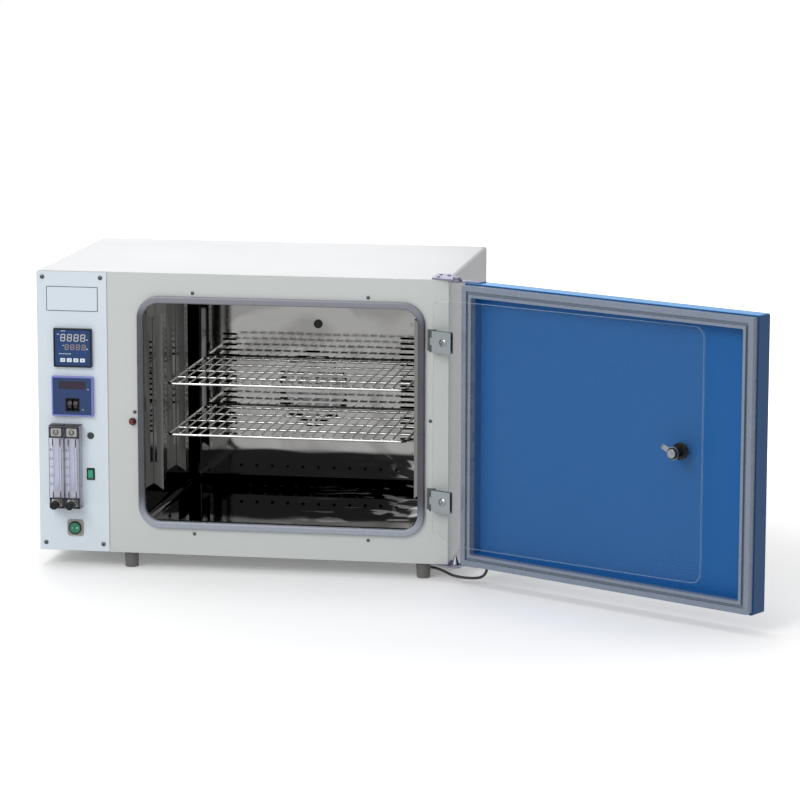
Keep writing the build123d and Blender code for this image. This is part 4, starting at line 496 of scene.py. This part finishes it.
# Mouldings, films and prints
DULL = {"Specular_IOR_Level": 0.3}
SATIN = {"Specular_IOR_Level": 0.35}
black_plastic = plastic("black plastic", tone(9, 9, 10), 0.34, **DULL)
bezel_plastic = plastic("bezel plastic", tone(8, 16, 30), 0.36, **DULL)
white_key = plastic("white key", tone(218, 228, 238), 0.4)
grey_plastic = plastic("grey moulding", tone(140, 136, 128), 0.42)
lilac_plastic = plastic("lilac moulding", tone(116, 124, 196), 0.34)
face_film = plastic("blue face film", tone(24, 58, 106), 0.34, 0.04, **SATIN)
gas_film = plastic("dull blue face film", tone(36, 58, 102), 0.34, 0.04, **SATIN)
window_film = plastic("dark red window", tone(44, 34, 52), 0.18, 0.01, **SATIN)
green_gloss = plastic("green rocker", tone(20, 150, 112), 0.24, 0.02, Coat_Weight=0.3)
dark_green = plastic("dark green rocker", tone(0, 112, 80), 0.22, 0.02, Coat_Weight=0.2)
lamp_green = plastic("lamp lens", tone(14, 42, 44), 0.20, 0.02, Coat_Weight=0.2)
red_gloss = plastic("red plunger", tone(96, 16, 16), 0.24, 0.02)
float_red = plastic("float", tone(120, 24, 30), 0.3)
board_green = plastic("circuit board", tone(34, 92, 56), 0.35)
print_white = plastic("pale print", tone(196, 206, 220), 0.5)
print_grey = plastic("grey print", tone(128, 122, 130), 0.5)
print_dark = plastic("dark blue print", tone(62, 78, 98), 0.5)
print_violet = plastic("violet print", tone(150, 140, 205), 0.5)
print_black = plastic("black print", tone(40, 44, 58), 0.5)
# The display is unlit, so the digits' faint glow is painted light.
digit_light = lit("display digits", tone(188, 184, 178), tone(180, 176, 170), 0.03)
digit_dim = lit("small display digits", tone(140, 126, 120), tone(120, 110, 100), 0.02)

# Clear sheet and wool
pane_glass = clear("pane glass", (0.26, 0.29, 0.22, 1), 0.024)
pane_edge = clear("pane edge", (0.50, 0.60, 0.64, 1), 0.24, 0.10)
acrylic = clear("clear acrylic", (0.80, 0.80, 0.95, 1), 0.34, 0.10)
stone_wool = wool("mineral wool", (0.55, 0.50, 0.36, 1))


def dress(material, *names):
    """Gives CAD nodes a material through their objects' slots."""
    for name in names:
        for place in nodes[name].material_slots:
            place.link = "OBJECT"
            place.material = material


dress(shaded_cover_paint, "outer_cover")
dress(grey_paint, "front_frame", "base_plate", "rear_panel", "partition_wall")
dress(panel_paint, "control_panel")
dress(wall_steel, "chamber_liner")
dress(floor_steel, "floor_plate")
dress(duct_steel, "duct_panel")
dress(rack_steel, "shelf_racks")
dress(wire_steel, "upper_shelf", "lower_shelf")
dress(chrome, "door_hinge_brackets", "door_hinge_arms")
dress(ring_steel, "door_switch_ring")
dress(zinc, "glass_clips", "latch_cam", "gas_valve")
dress(shaded_zinc, "glass_hinge_leaves")
dress(stone_wool, "insulation", "door_insulation")
dress(chamber_rubber, "chamber_gasket")
dress(door_rubber, "door_gasket")
dress(blue_paint, "door_shell")
dress(blue_pan_paint, "door_inner_panel")
dress(brushed_aluminium, "door_handle", "gas_inlet", "fan_impeller")
dress(black_plastic, "cable_glands", "small_switch_frame", "latch_knob", "sensor_port",
      "valve_knob_left", "valve_knob_right", "digit_wheel_left", "digit_wheel_right")
dress(nickel, "flowmeter_fittings")
dress(bezel_plastic, "temp_controller")
dress(lilac_plastic, "gas_controller")
dress(white_key, "key_1", "key_2", "key_3", "key_4")
dress(grey_plastic, "power_switch_plate")
dress(green_gloss, "small_rocker")
dress(dark_green, "power_rocker")
dress(lamp_green, "pilot_lamp")
dress(red_gloss, "door_switch_plunger")
dress(float_red, "float_left", "float_right")
dress(acrylic, "flowmeter_left", "flowmeter_right")
dress(board_green, "control_board")
dress(motor_black, "fan_motor")
dress(heater_steel, "air_heater")

# Shapes, each worked out as whole arrays of points. A shape is a pair of points and faces.


def skin(grid, ends="closed"):
    """Faces between neighbouring rows of a grid whose columns run round. Its ends are closed by a
    face each, left open, or joined into a ring."""
    rows, columns = grid.shape[:2]
    index = np.arange(rows * columns).reshape(rows, columns)
    here = np.vstack([index, index[:1]]) if ends == "joined" else index
    first, second = here[:-1], here[1:]
    faces = np.stack([first, np.roll(first, -1, 1), np.roll(second, -1, 1), second], -1)
    faces = faces.reshape(-1, 4).tolist()
    if ends == "closed":
        faces += [index[0][::-1].tolist(), index[-1].tolist()]
    return grid.reshape(-1, 3), faces


def around(count):
    """This many angles, evenly round a circle."""
    return np.linspace(0, 2 * math.pi, count, endpoint=False)


def turned(seat, x, y, profile, count=40):
    """A profile of radius and height pairs, turned about the line out of the seat at x, y."""
    angle = around(count)
    radius, height = np.array(profile, float).T
    across = radius[:, None] * np.cos(angle) + x
    up = radius[:, None] * np.sin(angle) + y
    out = np.broadcast_to(height[:, None], across.shape)
    return skin(seat.place(np.stack([across, up, out], -1)))


def rounded(width, height, radius, steps=6):
    """The outline of a rectangle whose corners are quarter circles, as x and y round its middle."""
    quarter = np.linspace(0, math.pi / 2, steps)
    angle = (quarter + np.arange(4)[:, None] * math.pi / 2)
    side_x = np.array([1, -1, -1, 1])[:, None] * (width / 2 - radius)
    side_y = np.array([1, 1, -1, -1])[:, None] * (height / 2 - radius)
    points = np.stack([side_x + radius * np.cos(angle), side_y + radius * np.sin(angle)], -1)
    return points.reshape(-1, 2)


def rounded_at(x, y, width, height, radius):
    """The same outline with its middle at x, y."""
    return rounded(width, height, radius, 4) + (x, y)


def rings_at(x, y, shapes):
    """Outlines of the same count of points, each at its height over a seat, as one grid."""
    return np.stack([np.column_stack([outline + (x, y), np.full(len(outline), out)])
                     for outline, out in shapes])


def slab(seat, x, y, outline, low, high, ease=0.1):
    """An outline raised from low to high over the seat, its front edge eased by a chamfer."""
    outline = np.array(outline, float)
    middle = outline.mean(0)
    reach = np.linalg.norm(outline - middle, axis=1, keepdims=True)
    inner = middle + (outline - middle) * (1 - ease / np.maximum(reach, 1e-6))
    shapes = [(outline, low), (outline, high - ease), (inner, high)]
    return skin(seat.place(rings_at(x, y, shapes)))


def hoop(seat, x, y, outline, width, low, high):
    """A flat frame along an outline, this wide inwards, raised from low to high over the seat."""
    outline = np.array(outline, float)
    ahead = np.roll(outline, -1, 0) - np.roll(outline, 1, 0)
    inward = np.column_stack([-ahead[:, 1], ahead[:, 0]])
    inward /= np.linalg.norm(inward, axis=1, keepdims=True)
    inner = outline + inward * width
    shapes = [(outline, low), (outline, high), (inner, high), (inner, low)]
    return skin(seat.place(rings_at(x, y, shapes)), ends="joined")


def pierced(seat, loops, low, high):
    """The flat area inside the first loop and outside the others, raised from low to high."""
    flat = np.vstack(loops)
    count = len(flat)
    pieces = tessellate_polygon([[Vector((x, y, 0)) for x, y in loop] for loop in loops])
    points = np.vstack([np.column_stack([flat, np.full(count, height)]) for height in (low, high)])
    faces = [[number + count for number in piece] for piece in pieces]
    faces += [list(piece)[::-1] for piece in pieces]
    start = 0
    for loop in loops:
        ring = np.arange(start, start + len(loop))
        ahead = np.roll(ring, -1)
        faces += np.stack([ring, ahead, ahead + count, ring + count], -1).tolist()
        start += len(loop)
    return seat.place(points), faces


def cross_screw(seat, x, y, radius, height, turn):
    """A pan head with a cross sunk into it. It is highest in the middle and falls to a quarter of
    that at its rim, as the 2.6th power of the radius."""
    share = np.linspace(0.02, 1, 15)[:, None]
    angle = around(48)
    across, up = share * np.cos(angle), share * np.sin(angle)
    arm = np.minimum(np.abs(np.sin(angle - turn)), np.abs(np.cos(angle - turn))) * share
    sunk = np.clip((0.13 - arm) / 0.05, 0, 1) * np.clip((0.62 - share) / 0.10, 0, 1)
    out = height * (1 - 0.75 * share ** 2.6) - sunk * height * 0.5
    grid = np.stack([x + radius * across, y + radius * up, out], -1)
    foot = np.stack([x + radius * np.cos(angle), y + radius * np.sin(angle), 0 * angle], -1)
    return skin(seat.place(np.concatenate([foot[None], grid[::-1]])))


def screw_row(seat, places, radius, height):
    """A cross screw at each place, every one left turned another way."""
    return [cross_screw(seat, x, y, radius, height, x * 0.7 + y) for x, y in places]


def bar(seat, start, end, width, low, high):
    """A thin straight stroke from one point of the seat to another, with pointed ends."""
    start, end = np.array(start, float), np.array(end, float)
    along = (end - start) / np.linalg.norm(end - start)
    side = np.array([-along[1], along[0]]) * width / 2
    point = along * width / 2
    outline = np.array([start, start + point + side, end - point + side,
                        end, end - point - side, start + point - side])
    return slab(seat, 0, 0, outline[::-1], low, high, 0.02)


SEGMENTS = {
    "0": "abcdef", "1": "bc", "2": "abged", "3": "abgcd", "4": "fgbc", "5": "afgcd",
    "6": "afgedc", "7": "abc", "8": "abcdefg", "9": "gfabcd",
}


def numeral(seat, x, y, width, height, digit, stroke, low, high, lean=0.08):
    """A seven-bar numeral on the seat, its top leaning to the right by this share of its height."""
    left, right, half = x - width / 2, x + width / 2, height / 2
    ends = {
        "a": ((left, y + half), (right, y + half)), "b": ((right, y + half), (right, y)),
        "c": ((right, y), (right, y - half)), "d": ((left, y - half), (right, y - half)),
        "e": ((left, y), (left, y - half)), "f": ((left, y + half), (left, y)),
        "g": ((left, y), (right, y)),
    }
    bars = []
    for name in SEGMENTS[digit]:
        start, end = [(px + (py - y) * lean, py) for px, py in ends[name]]
        bars.append(bar(seat, start, end, stroke, low, high))
    return bars


SHARP_ANGLE = math.radians(35.0)


def make(name, parts, body, material, stands_for=()):
    """Joins parts of points and faces into one piece that rides on a body."""
    points = np.concatenate([part[0] for part in parts])
    starts = np.cumsum([0] + [len(part[0]) for part in parts[:-1]])
    faces = [[number + start for number in face]
             for (_, part), start in zip(parts, starts) for face in part]
    mesh = bpy.data.meshes.new(name)
    mesh.from_pydata(points.tolist(), [], faces)
    shell = bmesh.new()
    shell.from_mesh(mesh)
    bmesh.ops.recalc_face_normals(shell, faces=shell.faces)
    shell.to_mesh(mesh)
    shell.free()
    mesh.shade_smooth()
    mesh.set_sharp_from_angle(angle=SHARP_ANGLE)
    mesh.materials.append(material)
    piece = bpy.data.objects.new(name, mesh)
    bpy.context.scene.collection.objects.link(piece)
    if body:
        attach(piece, body)
    if stands_for:
        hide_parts(*stands_for)
    return piece


# Screws of the casing

panel_spots = [(x, z) for x in (12.1, 121.9) for z in (14.5, 514.0)]
frame_spots = [(x, z) for x in (295.0, 621.5) for z in (40.0, 490.0)]
frame_spots += [(184.0, 266.0), (736.5, 266.0)]
back_spots = [(-x, z) for x in (12.0, 152.0, 385.0, 758.0) for z in (12.0, 514.0)]
screws = screw_row(facing(PANEL_FRONT), panel_spots, 4.2, 2.5)
screws += screw_row(facing(0), frame_spots, 3.4, 1.8)
screws += screw_row(behind(CABINET_DEPTH), back_spots, 3.4, 1.8)
make("casing_screws", screws, "cabinet", screw_steel, ["case_screws"])

# Nameplate, left bare inside a thin border

plate_seat = facing(PANEL_FRONT - PLATE_PROUD)
plate_film = slab(plate_seat, PLATE_X, PLATE_Z, rounded(98.0, 46.4, 0.8), 0, 0.12)
plate_border = hoop(plate_seat, PLATE_X, PLATE_Z, rounded(97.2, 45.6, 0.8), 1.2, 0.0, 0.2)
make("nameplate_film", [plate_film], "cabinet", panel_paint)
make("nameplate_border", [plate_border], "cabinet", print_dark)

# Temperature controller: blue film, digits, small legends, marks on the keys. Prints stand on the
# films, and digits stand a little higher.

PRINT_LOW, PRINT_HIGH, DIGIT_HIGH = 0.2, 0.36, 0.42
FILM_HIGH = 0.25
thermo = facing(THERMO_FACE)
key_xs = [THERMO_X + KEY_PITCH * (number - 1.5) for number in range(4)]
film_loops = [rounded_at(THERMO_X, THERMO_Z, 66.6, 66.6, 1.0)]
film_loops += [rounded_at(key_x, KEY_Z, 9.7, 7.7, 0.6) for key_x in key_xs]
make("controller_film", [pierced(thermo, film_loops, 0, FILM_HIGH)], "cabinet", face_film)


def display(first_x, pitch, z, width, height, stroke):
    """Four eights in a row, with every bar of each, as an unlit display shows them."""
    return [part for number in range(4)
            for part in numeral(thermo, first_x + number * pitch, z, width, height, "8", stroke,
                                PRINT_LOW, DIGIT_HIGH)]


make("upper_digits", display(51.4, 12.6, 402.3, 7.4, 12.0, 1.7), "cabinet", digit_light)
make("lower_digits", display(58.6, 10.7, 384.8, 6.2, 9.0, 1.5), "cabinet", digit_dim)


def legend(seat, x, z, width, height, radius=0.5):
    """A small printed patch, which stands for lettering too small to read."""
    return slab(seat, x, z, rounded(width, height, radius), PRINT_LOW, PRINT_HIGH)


marks = [legend(thermo, 42.0, 408.4, 4.4, 1.3), legend(thermo, 52.0, 415.0, 9.0, 1.2),
         legend(thermo, 97.0, 399.0, 2.6, 2.6, 1.2), legend(thermo, 97.0, 381.6, 2.6, 2.6, 1.2),
         legend(thermo, 52.4, 387.6, 3.6, 1.3)]
marks += [legend(thermo, 45.0 + 3.9 * number, 372.2, 2.4, 1.9) for number in range(6)]
make("controller_marks", marks, "cabinet", print_white)

GLYPH_HIGH, GLYPH_EASE = 0.12, 0.03
key_seat = facing(THERMO_FACE - KEY_PROUD)
arrows = [[(-0.9, -1.8), (-0.9, 1.8), (2.2, 0)], [(-1.9, 1.1), (1.9, 1.1), (0, -2.0)],
          [(1.9, -1.1), (-1.9, -1.1), (0, 2.0)]]
glyphs = [hoop(key_seat, key_xs[0], KEY_Z, rounded(3.6, 3.6, 1.7), 0.7, 0, GLYPH_HIGH)]
glyphs += [slab(key_seat, key_x, KEY_Z, arrow, 0, GLYPH_HIGH, GLYPH_EASE)
           for key_x, arrow in zip(key_xs[1:], arrows)]
for number, glyph in enumerate(glyphs, start=1):
    make(f"key_mark_{number}", [glyph], f"key_{number}", print_dark)

# Gas controller: film with a window, a frame round the two digit wheels, the wheels' numbers

gas = facing(GAS_FACE)
gas_loops = [rounded_at(GAS_X, GAS_Z, 72.6, 68.6, 1.0), rounded_at(GAS_X, WINDOW_Z, 50.8, 14.8, 0.9),
             rounded_at(GAS_X, WHEEL_Z, 25.2, 24.2, 0.5)]
make("gas_film", [pierced(gas, gas_loops, 0, FILM_HIGH)], "cabinet", gas_film)
gas_window = slab(facing(GAS_FACE + WINDOW_RECESS), GAS_X, WINDOW_Z, rounded(50.6, 14.6, 0.9), 0, 0.3)
make("gas_window", [gas_window], "cabinet", window_film)
wheel_frame = hoop(gas, GAS_X, WHEEL_Z, rounded(27.0, 25.6, 0.8), 2.0, -0.5, 0.7)
make("wheel_frame", [wheel_frame], "cabinet", black_plastic)
gas_marks = [legend(gas, 98.0, 306.4, 3.4, 1.4, 0.6), legend(gas, 87.6, 268.2, 3.4, 1.4, 0.6)]
make("gas_marks", gas_marks, "cabinet", print_white)


def wheel_numbers(wheel_x):
    """The figures 0 to 9, one on each of the ten flats of a digit wheel."""
    axle = spot(wheel_x, GAS_FACE - WHEEL_PROUD + WHEEL_RADIUS, WHEEL_Z)
    flat_radius = WHEEL_RADIUS * math.cos(math.pi / 10)
    numbers = []
    for digit in range(10):
        angle = math.radians(-18 + 36 * digit)
        out = np.array([0, -math.cos(angle), math.sin(angle)])
        flat = Seat(axle + out * flat_radius * MM, (1, 0, 0), out)
        numbers += numeral(flat, 0, 0, 2.2, 3.8, str(digit), 0.5, -0.02, 0.06)
    return numbers


for side, wheel_x in zip(("left", "right"), WHEEL_XS):
    make(f"wheel_numbers_{side}", wheel_numbers(wheel_x), f"digit_wheel_{side}", print_grey)

# Flowmeters: dark ends and edges, scales, plates with their screws, knob caps

SCALE_LOW, SCALE_STEP, SCALE_HIGH = 130.0, 3.2, 0.09
meter_seat = facing(METER_FRONT)
meter_looks = {
    "meter_caps": black_plastic, "meter_edges": print_black, "meter_scale": print_dark,
    "meter_figures": print_dark, "meter_painted_highlights": print_white, "meter_bore_lines": print_violet,
    "meter_plates": nickel, "meter_rims": print_black, "meter_plugs": screw_steel,
}
meter = {name: [] for name in meter_looks}


def both_sides(x, offset, z, width, height, radius, high, ease):
    """Two upright strokes on a flowmeter's front, this far left and right of its middle."""
    outline = rounded(width, height, radius)
    return [slab(meter_seat, x + side * offset, z, outline, 0, high, ease) for side in (-1, 1)]


for meter_x in METER_XS:
    for end_z in (239.5, 84.6):
        meter["meter_caps"].append(
            slab(facing(PANEL_FRONT), meter_x, end_z, rounded(28.6, 1.4, 0.4), 0.0, 22.3, 0.3))
    meter["meter_edges"] += both_sides(meter_x, 13.8, 162.0, 0.8, 151.0, 0.3, 0.2, 0.1)
    meter["meter_bore_lines"] += both_sides(meter_x, 4.8, 158.3, 0.9, 82.0, 0.4, 0.07, 0.02)
    # Pale strips down each tube that stand for its highlights: painted highlights.
    meter["meter_painted_highlights"] += both_sides(meter_x, 7.4, 158.0, 1.3, 80.0, 0.4, 0.06, 0.02)
    for ferrule_z in (108.6, 208.0):
        meter["meter_rims"] += both_sides(meter_x, 7.0, ferrule_z, 2.0, 14.0, 0.5, 0.1, 0.03)
    for number in range(21):
        start = meter_x + 8.0
        end = start + (4.6 if number % 5 == 0 else 2.8)
        z = SCALE_LOW + SCALE_STEP * number
        meter["meter_scale"].append(bar(meter_seat, (start, z), (end, z), 0.9, 0, SCALE_HIGH))
    for number in range(5):
        z = SCALE_LOW + 5 * SCALE_STEP * number
        for column, digit in ((-11.2, 2 * number), (-7.4, 5)):
            meter["meter_figures"] += numeral(meter_seat, meter_x + column, z, 2.0, 4.0, str(digit),
                                              0.8, 0, SCALE_HIGH, lean=0.0)
    for plate_z, height in ((METER_PLATE_Z, 14.6), (94.6, 12.5)):
        plate, rim = rounded(19.6, height, 0.8), rounded(27.0, height + 6.6, 1.2)
        meter["meter_plates"].append(slab(meter_seat, meter_x, plate_z, plate, 1.3, 1.9, 0.2))
        meter["meter_rims"].append(hoop(meter_seat, meter_x, plate_z, rim, 3.6, 0, 1.7))
    meter["meter_plugs"].append(
        cross_screw(facing(METER_FRONT - 1.8), meter_x, METER_PLATE_Z, 4.2, 1.5, meter_x))
    plug_rim = rounded(10.6, 10.6, 5.2, 9)
    meter["meter_rims"].append(
        hoop(facing(METER_FRONT - 1.9), meter_x, METER_PLATE_Z, plug_rim, 0.9, 0, 0.4))
for name, material in meter_looks.items():
    make(name, meter[name], "cabinet", material)

knob_front = facing(METER_FRONT - VALVE_STEM - VALVE_KNOB)
knob_profile = [(5.6, -0.4), (5.6, 0.10), (5.2, 0.45), (4.2, 0.45), (3.8, 0.10), (2.4, 0.10),
                (2.0, 0.3), (0.2, 0.35)]
for side, meter_x in zip(("left", "right"), METER_XS):
    cap = turned(knob_front, meter_x, VALVE_Z, knob_profile)
    make(f"knob_cap_{side}", [cap], f"valve_knob_{side}", black_plastic)

# Marks on the power rocker, and rings round it and the lamp

rocker_out = np.array([0, -math.cos(ROCKER_TILT), -math.sin(ROCKER_TILT)])
rocker_middle = spot(POWER_X, ROCKER_Y, POWER_Z)
rocker_seat = Seat(rocker_middle + rocker_out * ROCKER_THICKNESS / 2 * MM, (1, 0, 0), rocker_out)
power_marks = [bar(rocker_seat, (-5.0, -2.0), (-5.0, 2.0), 0.9, 0, 0.08),
               hoop(rocker_seat, 4.4, 0, rounded(4.0, 4.0, 1.9), 0.9, 0, 0.08)]
make("power_marks", power_marks, "power_rocker", print_white)
power_ring = hoop(facing(POWER_RING_FRONT), POWER_X, POWER_Z, rounded(25.0, 25.0, 12.4, 12), 1.9,
                  -0.2, 0.5)
make("power_ring", [power_ring], "cabinet", black_plastic)
lamp_ring = turned(facing(PANEL_FRONT), LAMP_X, LAMP_Z, [
    (6.5, 0.0), (6.5, 0.5), (6.2, 0.8), (5.9, 0.8), (5.9, 0.0)])
make("lamp_ring", [lamp_ring], "cabinet", black_plastic)

# Feet: turned rubber, wider towards the top

foot_profile = [(9.5, 0.0), (11.6, 0.0), (12.4, 0.9), (13.2, 16.0), (13.9, 27.0), (13.9, 29.2),
                (13.0, FOOT_HEIGHT), (4.0, FOOT_HEIGHT)]
feet = [turned(level(-FOOT_HEIGHT), foot_x, foot_y, foot_profile, 48)
        for foot_x in FOOT_XS for foot_y in FOOT_YS]
make("rubber_feet", feet, "cabinet", foot_rubber, ["feet"])

# Glass pane: two clear faces, and a polished edge that shows


def corner_arc(x, y, radius, start):
    """A quarter circle round x, y that starts at this many right angles."""
    angle = np.linspace(0, math.pi / 2, 9)[:, None] + start * math.pi / 2
    return np.hstack([x + radius * np.cos(angle), y + radius * np.sin(angle)])


pane_outline = np.vstack([
    corner_arc(PANE_FAR - PANE_FAR_CORNER, PANE_HIGH - PANE_FAR_CORNER, PANE_FAR_CORNER, 0),
    corner_arc(PANE_NEAR + PANE_NEAR_CORNER, PANE_HIGH - PANE_NEAR_CORNER, PANE_NEAR_CORNER, 1),
    [[PANE_NEAR, PANE_LOW + PANE_CUT_HEIGHT], [PANE_NEAR + PANE_CUT_WIDTH, PANE_LOW]],
    corner_arc(PANE_FAR - PANE_FAR_CORNER, PANE_LOW + PANE_FAR_CORNER, PANE_FAR_CORNER, 3)])
pane_middle = np.array([(PANE_NEAR + PANE_FAR) / 2, (PANE_LOW + PANE_HIGH) / 2])
pane_reach = pane_outline - pane_middle
pane_face = pane_middle + pane_reach * (1 - 0.9 / np.abs(pane_reach).max())
half_pane, pane_bevel = GLASS_THICKNESS / 2, 0.7


def pane_ring(outline, offset):
    """An outline on the glass door at this distance from the middle of the pane."""
    return glass(offset).place(np.column_stack([outline, np.zeros(len(outline))]))


for name, offset in (("pane_front", half_pane), ("pane_back", -half_pane)):
    face = pane_ring(pane_face, offset)
    make(name, [(face, [list(range(len(face)))])], "glass_door", pane_glass)
edge_rings = np.stack([
    pane_ring(pane_face, half_pane), pane_ring(pane_outline, half_pane - pane_bevel),
    pane_ring(pane_outline, pane_bevel - half_pane), pane_ring(pane_face, -half_pane)])
make("pane_edge_band", [skin(edge_rings, ends="open")], "glass_door", pane_edge, ["glass_pane"])

# Bolts of the clips, each a screw, a nut and a shank, and the latch's screw

bolts = []
for clip_z in CLIP_ZS:
    bolts += [
        cross_screw(glass(4.3), CLIP_ALONG, clip_z, 7.4, 3.0, clip_z),
        turned(glass(-6.5), CLIP_ALONG, clip_z, [(3.0, 0.0), (6.2, 0.4), (6.5, 2.2), (3.0, 2.2)], 6),
        turned(glass(-4.4), CLIP_ALONG, clip_z, [(2.9, 0.0), (2.9, 8.8)], 24)]
make("clip_screws", bolts, "glass_door", bolt_steel, ["clip_bolts"])
latch_screw = cross_screw(glass(LATCH_TOP), LATCH_ALONG, LATCH_Z, 8.0, 1.4, 0.9)
make("latch_screw", [latch_screw], "latch", bolt_steel)

# Screws of the door's top hinge plate, and collars where the handle meets the door

hinge_screws = [cross_screw(level(BRACKET_TOP), x, y, 3.6, 1.6, x)
                for x, y in ((748, 16), (748, 46), (764, 38))]
make("hinge_screws", hinge_screws, "cabinet", screw_steel)
handle_along = DOOR_LIP_START + DOOR_LIP_WIDTH - HANDLE_INBOARD
door_inside = leaf(DOOR_PIVOT, DOOR_TURN, DOOR_LIP_PLANE - DOOR_GASKET - DOOR_SHELL)
door_outside = Seat(door_inside.origin, -door_inside.right, -door_inside.out)
collar_profile = [(6.2, 0.0), (9.5, 0.0), (9.5, 1.6), (8.6, 2.4), (6.2, 2.6)]
collars = [turned(door_outside, -handle_along, z, collar_profile) for z in HANDLE_ZS]
make("handle_collars", collars, "outer_door", brushed_aluminium)

# Heater lead: one smooth line, led by the same points as in the source. Its radius is 0.1 mm more.

LEAD_RADIUS = 2.6
lead_points = [
    (695.0, 100.0, 3.0), (695.0, 100.0, -6.4), (697.8, 95.9, -15.1), (702.7, 88.7, -20.1),
    (714.0, 72.2, -20.1), (731.0, 61.0, -19.9), (748.0, 46.0, -19.7), (764.0, 19.0, -19.2),
    (784.0, -11.0, -18.9), (811.9, -24.6, -18.3), (831.3, -19.7, -18.3), (839.7, -17.6, -13.3),
    (844.6, -16.4, -4.6), (844.6, -16.4, 4.8),
]


def smooth_line(name, points):
    """The points of a smooth curve from the first point to the last, led by those between them."""
    line = bpy.data.curves.new(name, "CURVE")
    line.dimensions = "3D"
    spline = line.splines.new("NURBS")
    spline.points.add(len(points) - 1)
    places = [spot(*point) for point in points]
    spline.points.foreach_set("co", np.column_stack([places, np.ones(len(points))]).ravel())
    spline.order_u = 3
    spline.use_endpoint_u = True
    spline.resolution_u = 10
    carrier = bpy.data.objects.new(name, line)
    bpy.context.scene.collection.objects.link(carrier)
    path = bpy.data.meshes.new_from_object(carrier)
    route = np.empty(len(path.vertices) * 3)
    path.vertices.foreach_get("co", route)
    bpy.data.objects.remove(carrier)
    return route.reshape(-1, 3)


def tube(route, radius):
    """A round tube along a route, which nowhere runs along the slanted direction named here."""
    ahead = np.gradient(route, axis=0)
    ahead /= np.linalg.norm(ahead, axis=1, keepdims=True)
    slanted = (0.31, 0.17, 0.93)
    side = np.cross(ahead, slanted)
    side /= np.linalg.norm(side, axis=1, keepdims=True)
    over = np.cross(ahead, side)
    angle = around(16)[None, :, None]
    spokes = np.cos(angle) * side[:, None] + np.sin(angle) * over[:, None]
    return skin(route[:, None] + radius * MM * spokes)


# It bends close to the hinge pin, so that it keeps its length as the door turns
lead_route = smooth_line("heater_lead_line", lead_points)
lead = make("heater_lead", [tube(lead_route, LEAD_RADIUS)], None, lead_rubber, ["door_lead"])
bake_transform(lead)

# Floor, light and camera


def ground():
    """A pale floor. Seen directly or through glass, it glows whiter away from the object. Mirrored,
    it is plain white."""
    half_side, below = 14.0, 0.0002
    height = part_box("feet")[0][2] - below
    corners = [(x * half_side, y * half_side, height) for x, y in ((-1, -1), (1, -1), (1, 1), (-1, 1))]
    mesh = bpy.data.meshes.new("floor")
    mesh.from_pydata(corners, [], [(0, 1, 2, 3)])
    finish = Finish("pale floor", grey(0.82), 0.7)
    surface = Wire(finish, finish.shader.outputs[0])
    away = finish.add("ShaderNodeVectorMath", {"operation": "LENGTH"}, {0: finish.place}, 1)
    whiter = finish.blend(finish.climb(away, 0.55, 1.9), grey(0.16), grey(1))
    glow = finish.add("ShaderNodeEmission", {}, {"Color": whiter})
    glowing = finish.add("ShaderNodeAddShader", {}, {0: surface, 1: glow})
    seen = finish.ray_share("Is Camera Ray", "Is Transmission Ray")
    direct = finish.add("ShaderNodeMixShader", {}, {0: seen, 1: surface, 2: glowing})
    plain_white = finish.add("ShaderNodeEmission", {}, {})
    mirrored = finish.ray_share("Is Glossy Ray")
    whole = finish.add("ShaderNodeMixShader", {}, {0: mirrored, 1: direct, 2: plain_white})
    finish.set_input(finish.tree.nodes["Material Output"], "Surface", whole)
    mesh.materials.append(finish.material)
    piece = bpy.data.objects.new("floor", mesh)
    bpy.context.scene.collection.objects.link(piece)


ground()


def lamp(name, place, aim, size, power):
    """A square soft lamp at a place, aimed at a point."""
    data = bpy.data.lights.new(name, "AREA")
    data.size, data.energy = size, power
    holder = bpy.data.objects.new(name, data)
    holder.location = place
    holder.rotation_euler = (Vector(aim) - Vector(place)).to_track_quat("-Z", "Y").to_euler()
    bpy.context.scene.collection.objects.link(holder)


lamp("key", (-1.9, -3.6, 3.0), (0, 0, 0.25), 2.2, 94)
lamp("fill", (0.2, -4.6, 1.4), (0.0, 0, 0.25), 2.2, 14)
lamp("top", (-0.6, 0.4, 3.6), (0, 0, 0.3), 2.4, 56)
lamp("rear", (-1.6, 4.0, 1.9), (0, 0, 0.3), 2.4, 26)

# The surroundings are plain white where they are seen, and light the object less brightly
world = bpy.data.worlds.new("studio")
world.use_nodes = True
bpy.context.scene.world = world
sky = Graph(world.node_tree)
sky_seen = sky.ray_share("Is Camera Ray", "Is Glossy Ray", "Is Transmission Ray")
sky_strength = sky.add("ShaderNodeMapRange", {}, {"Value": sky_seen, "To Min": 0.42, "To Max": 1.0})
backdrop = world.node_tree.nodes["Background"]
sky.set_input(backdrop, "Color", grey(1))
sky.set_input(backdrop, "Strength", sky_strength)

# The camera was fitted to the photograph. Its distance and aim are in the cabinet's millimetres.
camera_data = bpy.data.cameras.new("camera")
camera_data.sensor_width = 36.0
camera_data.lens = 153.1
camera_data.clip_end = 100.0
camera = bpy.data.objects.new("camera", camera_data)
azimuth, elevation, distance = math.radians(9.465), math.radians(9.849), 6193.4
back = np.array([math.sin(azimuth) * math.cos(elevation), -math.cos(azimuth) * math.cos(elevation),
                 math.sin(elevation)])
aim = np.array([680.3, 0.0, 303.3])
camera.location = spot(*(aim + back * distance))
camera.rotation_mode = "QUATERNION"
roll = Quaternion((0, 0, 1), math.radians(0.11))
camera.rotation_quaternion = Vector(-back).to_track_quat("-Z", "Y") @ roll
bpy.context.scene.collection.objects.link(camera)
bpy.context.scene.camera = camera
bpy.context.scene.view_settings.view_transform = "Standard"
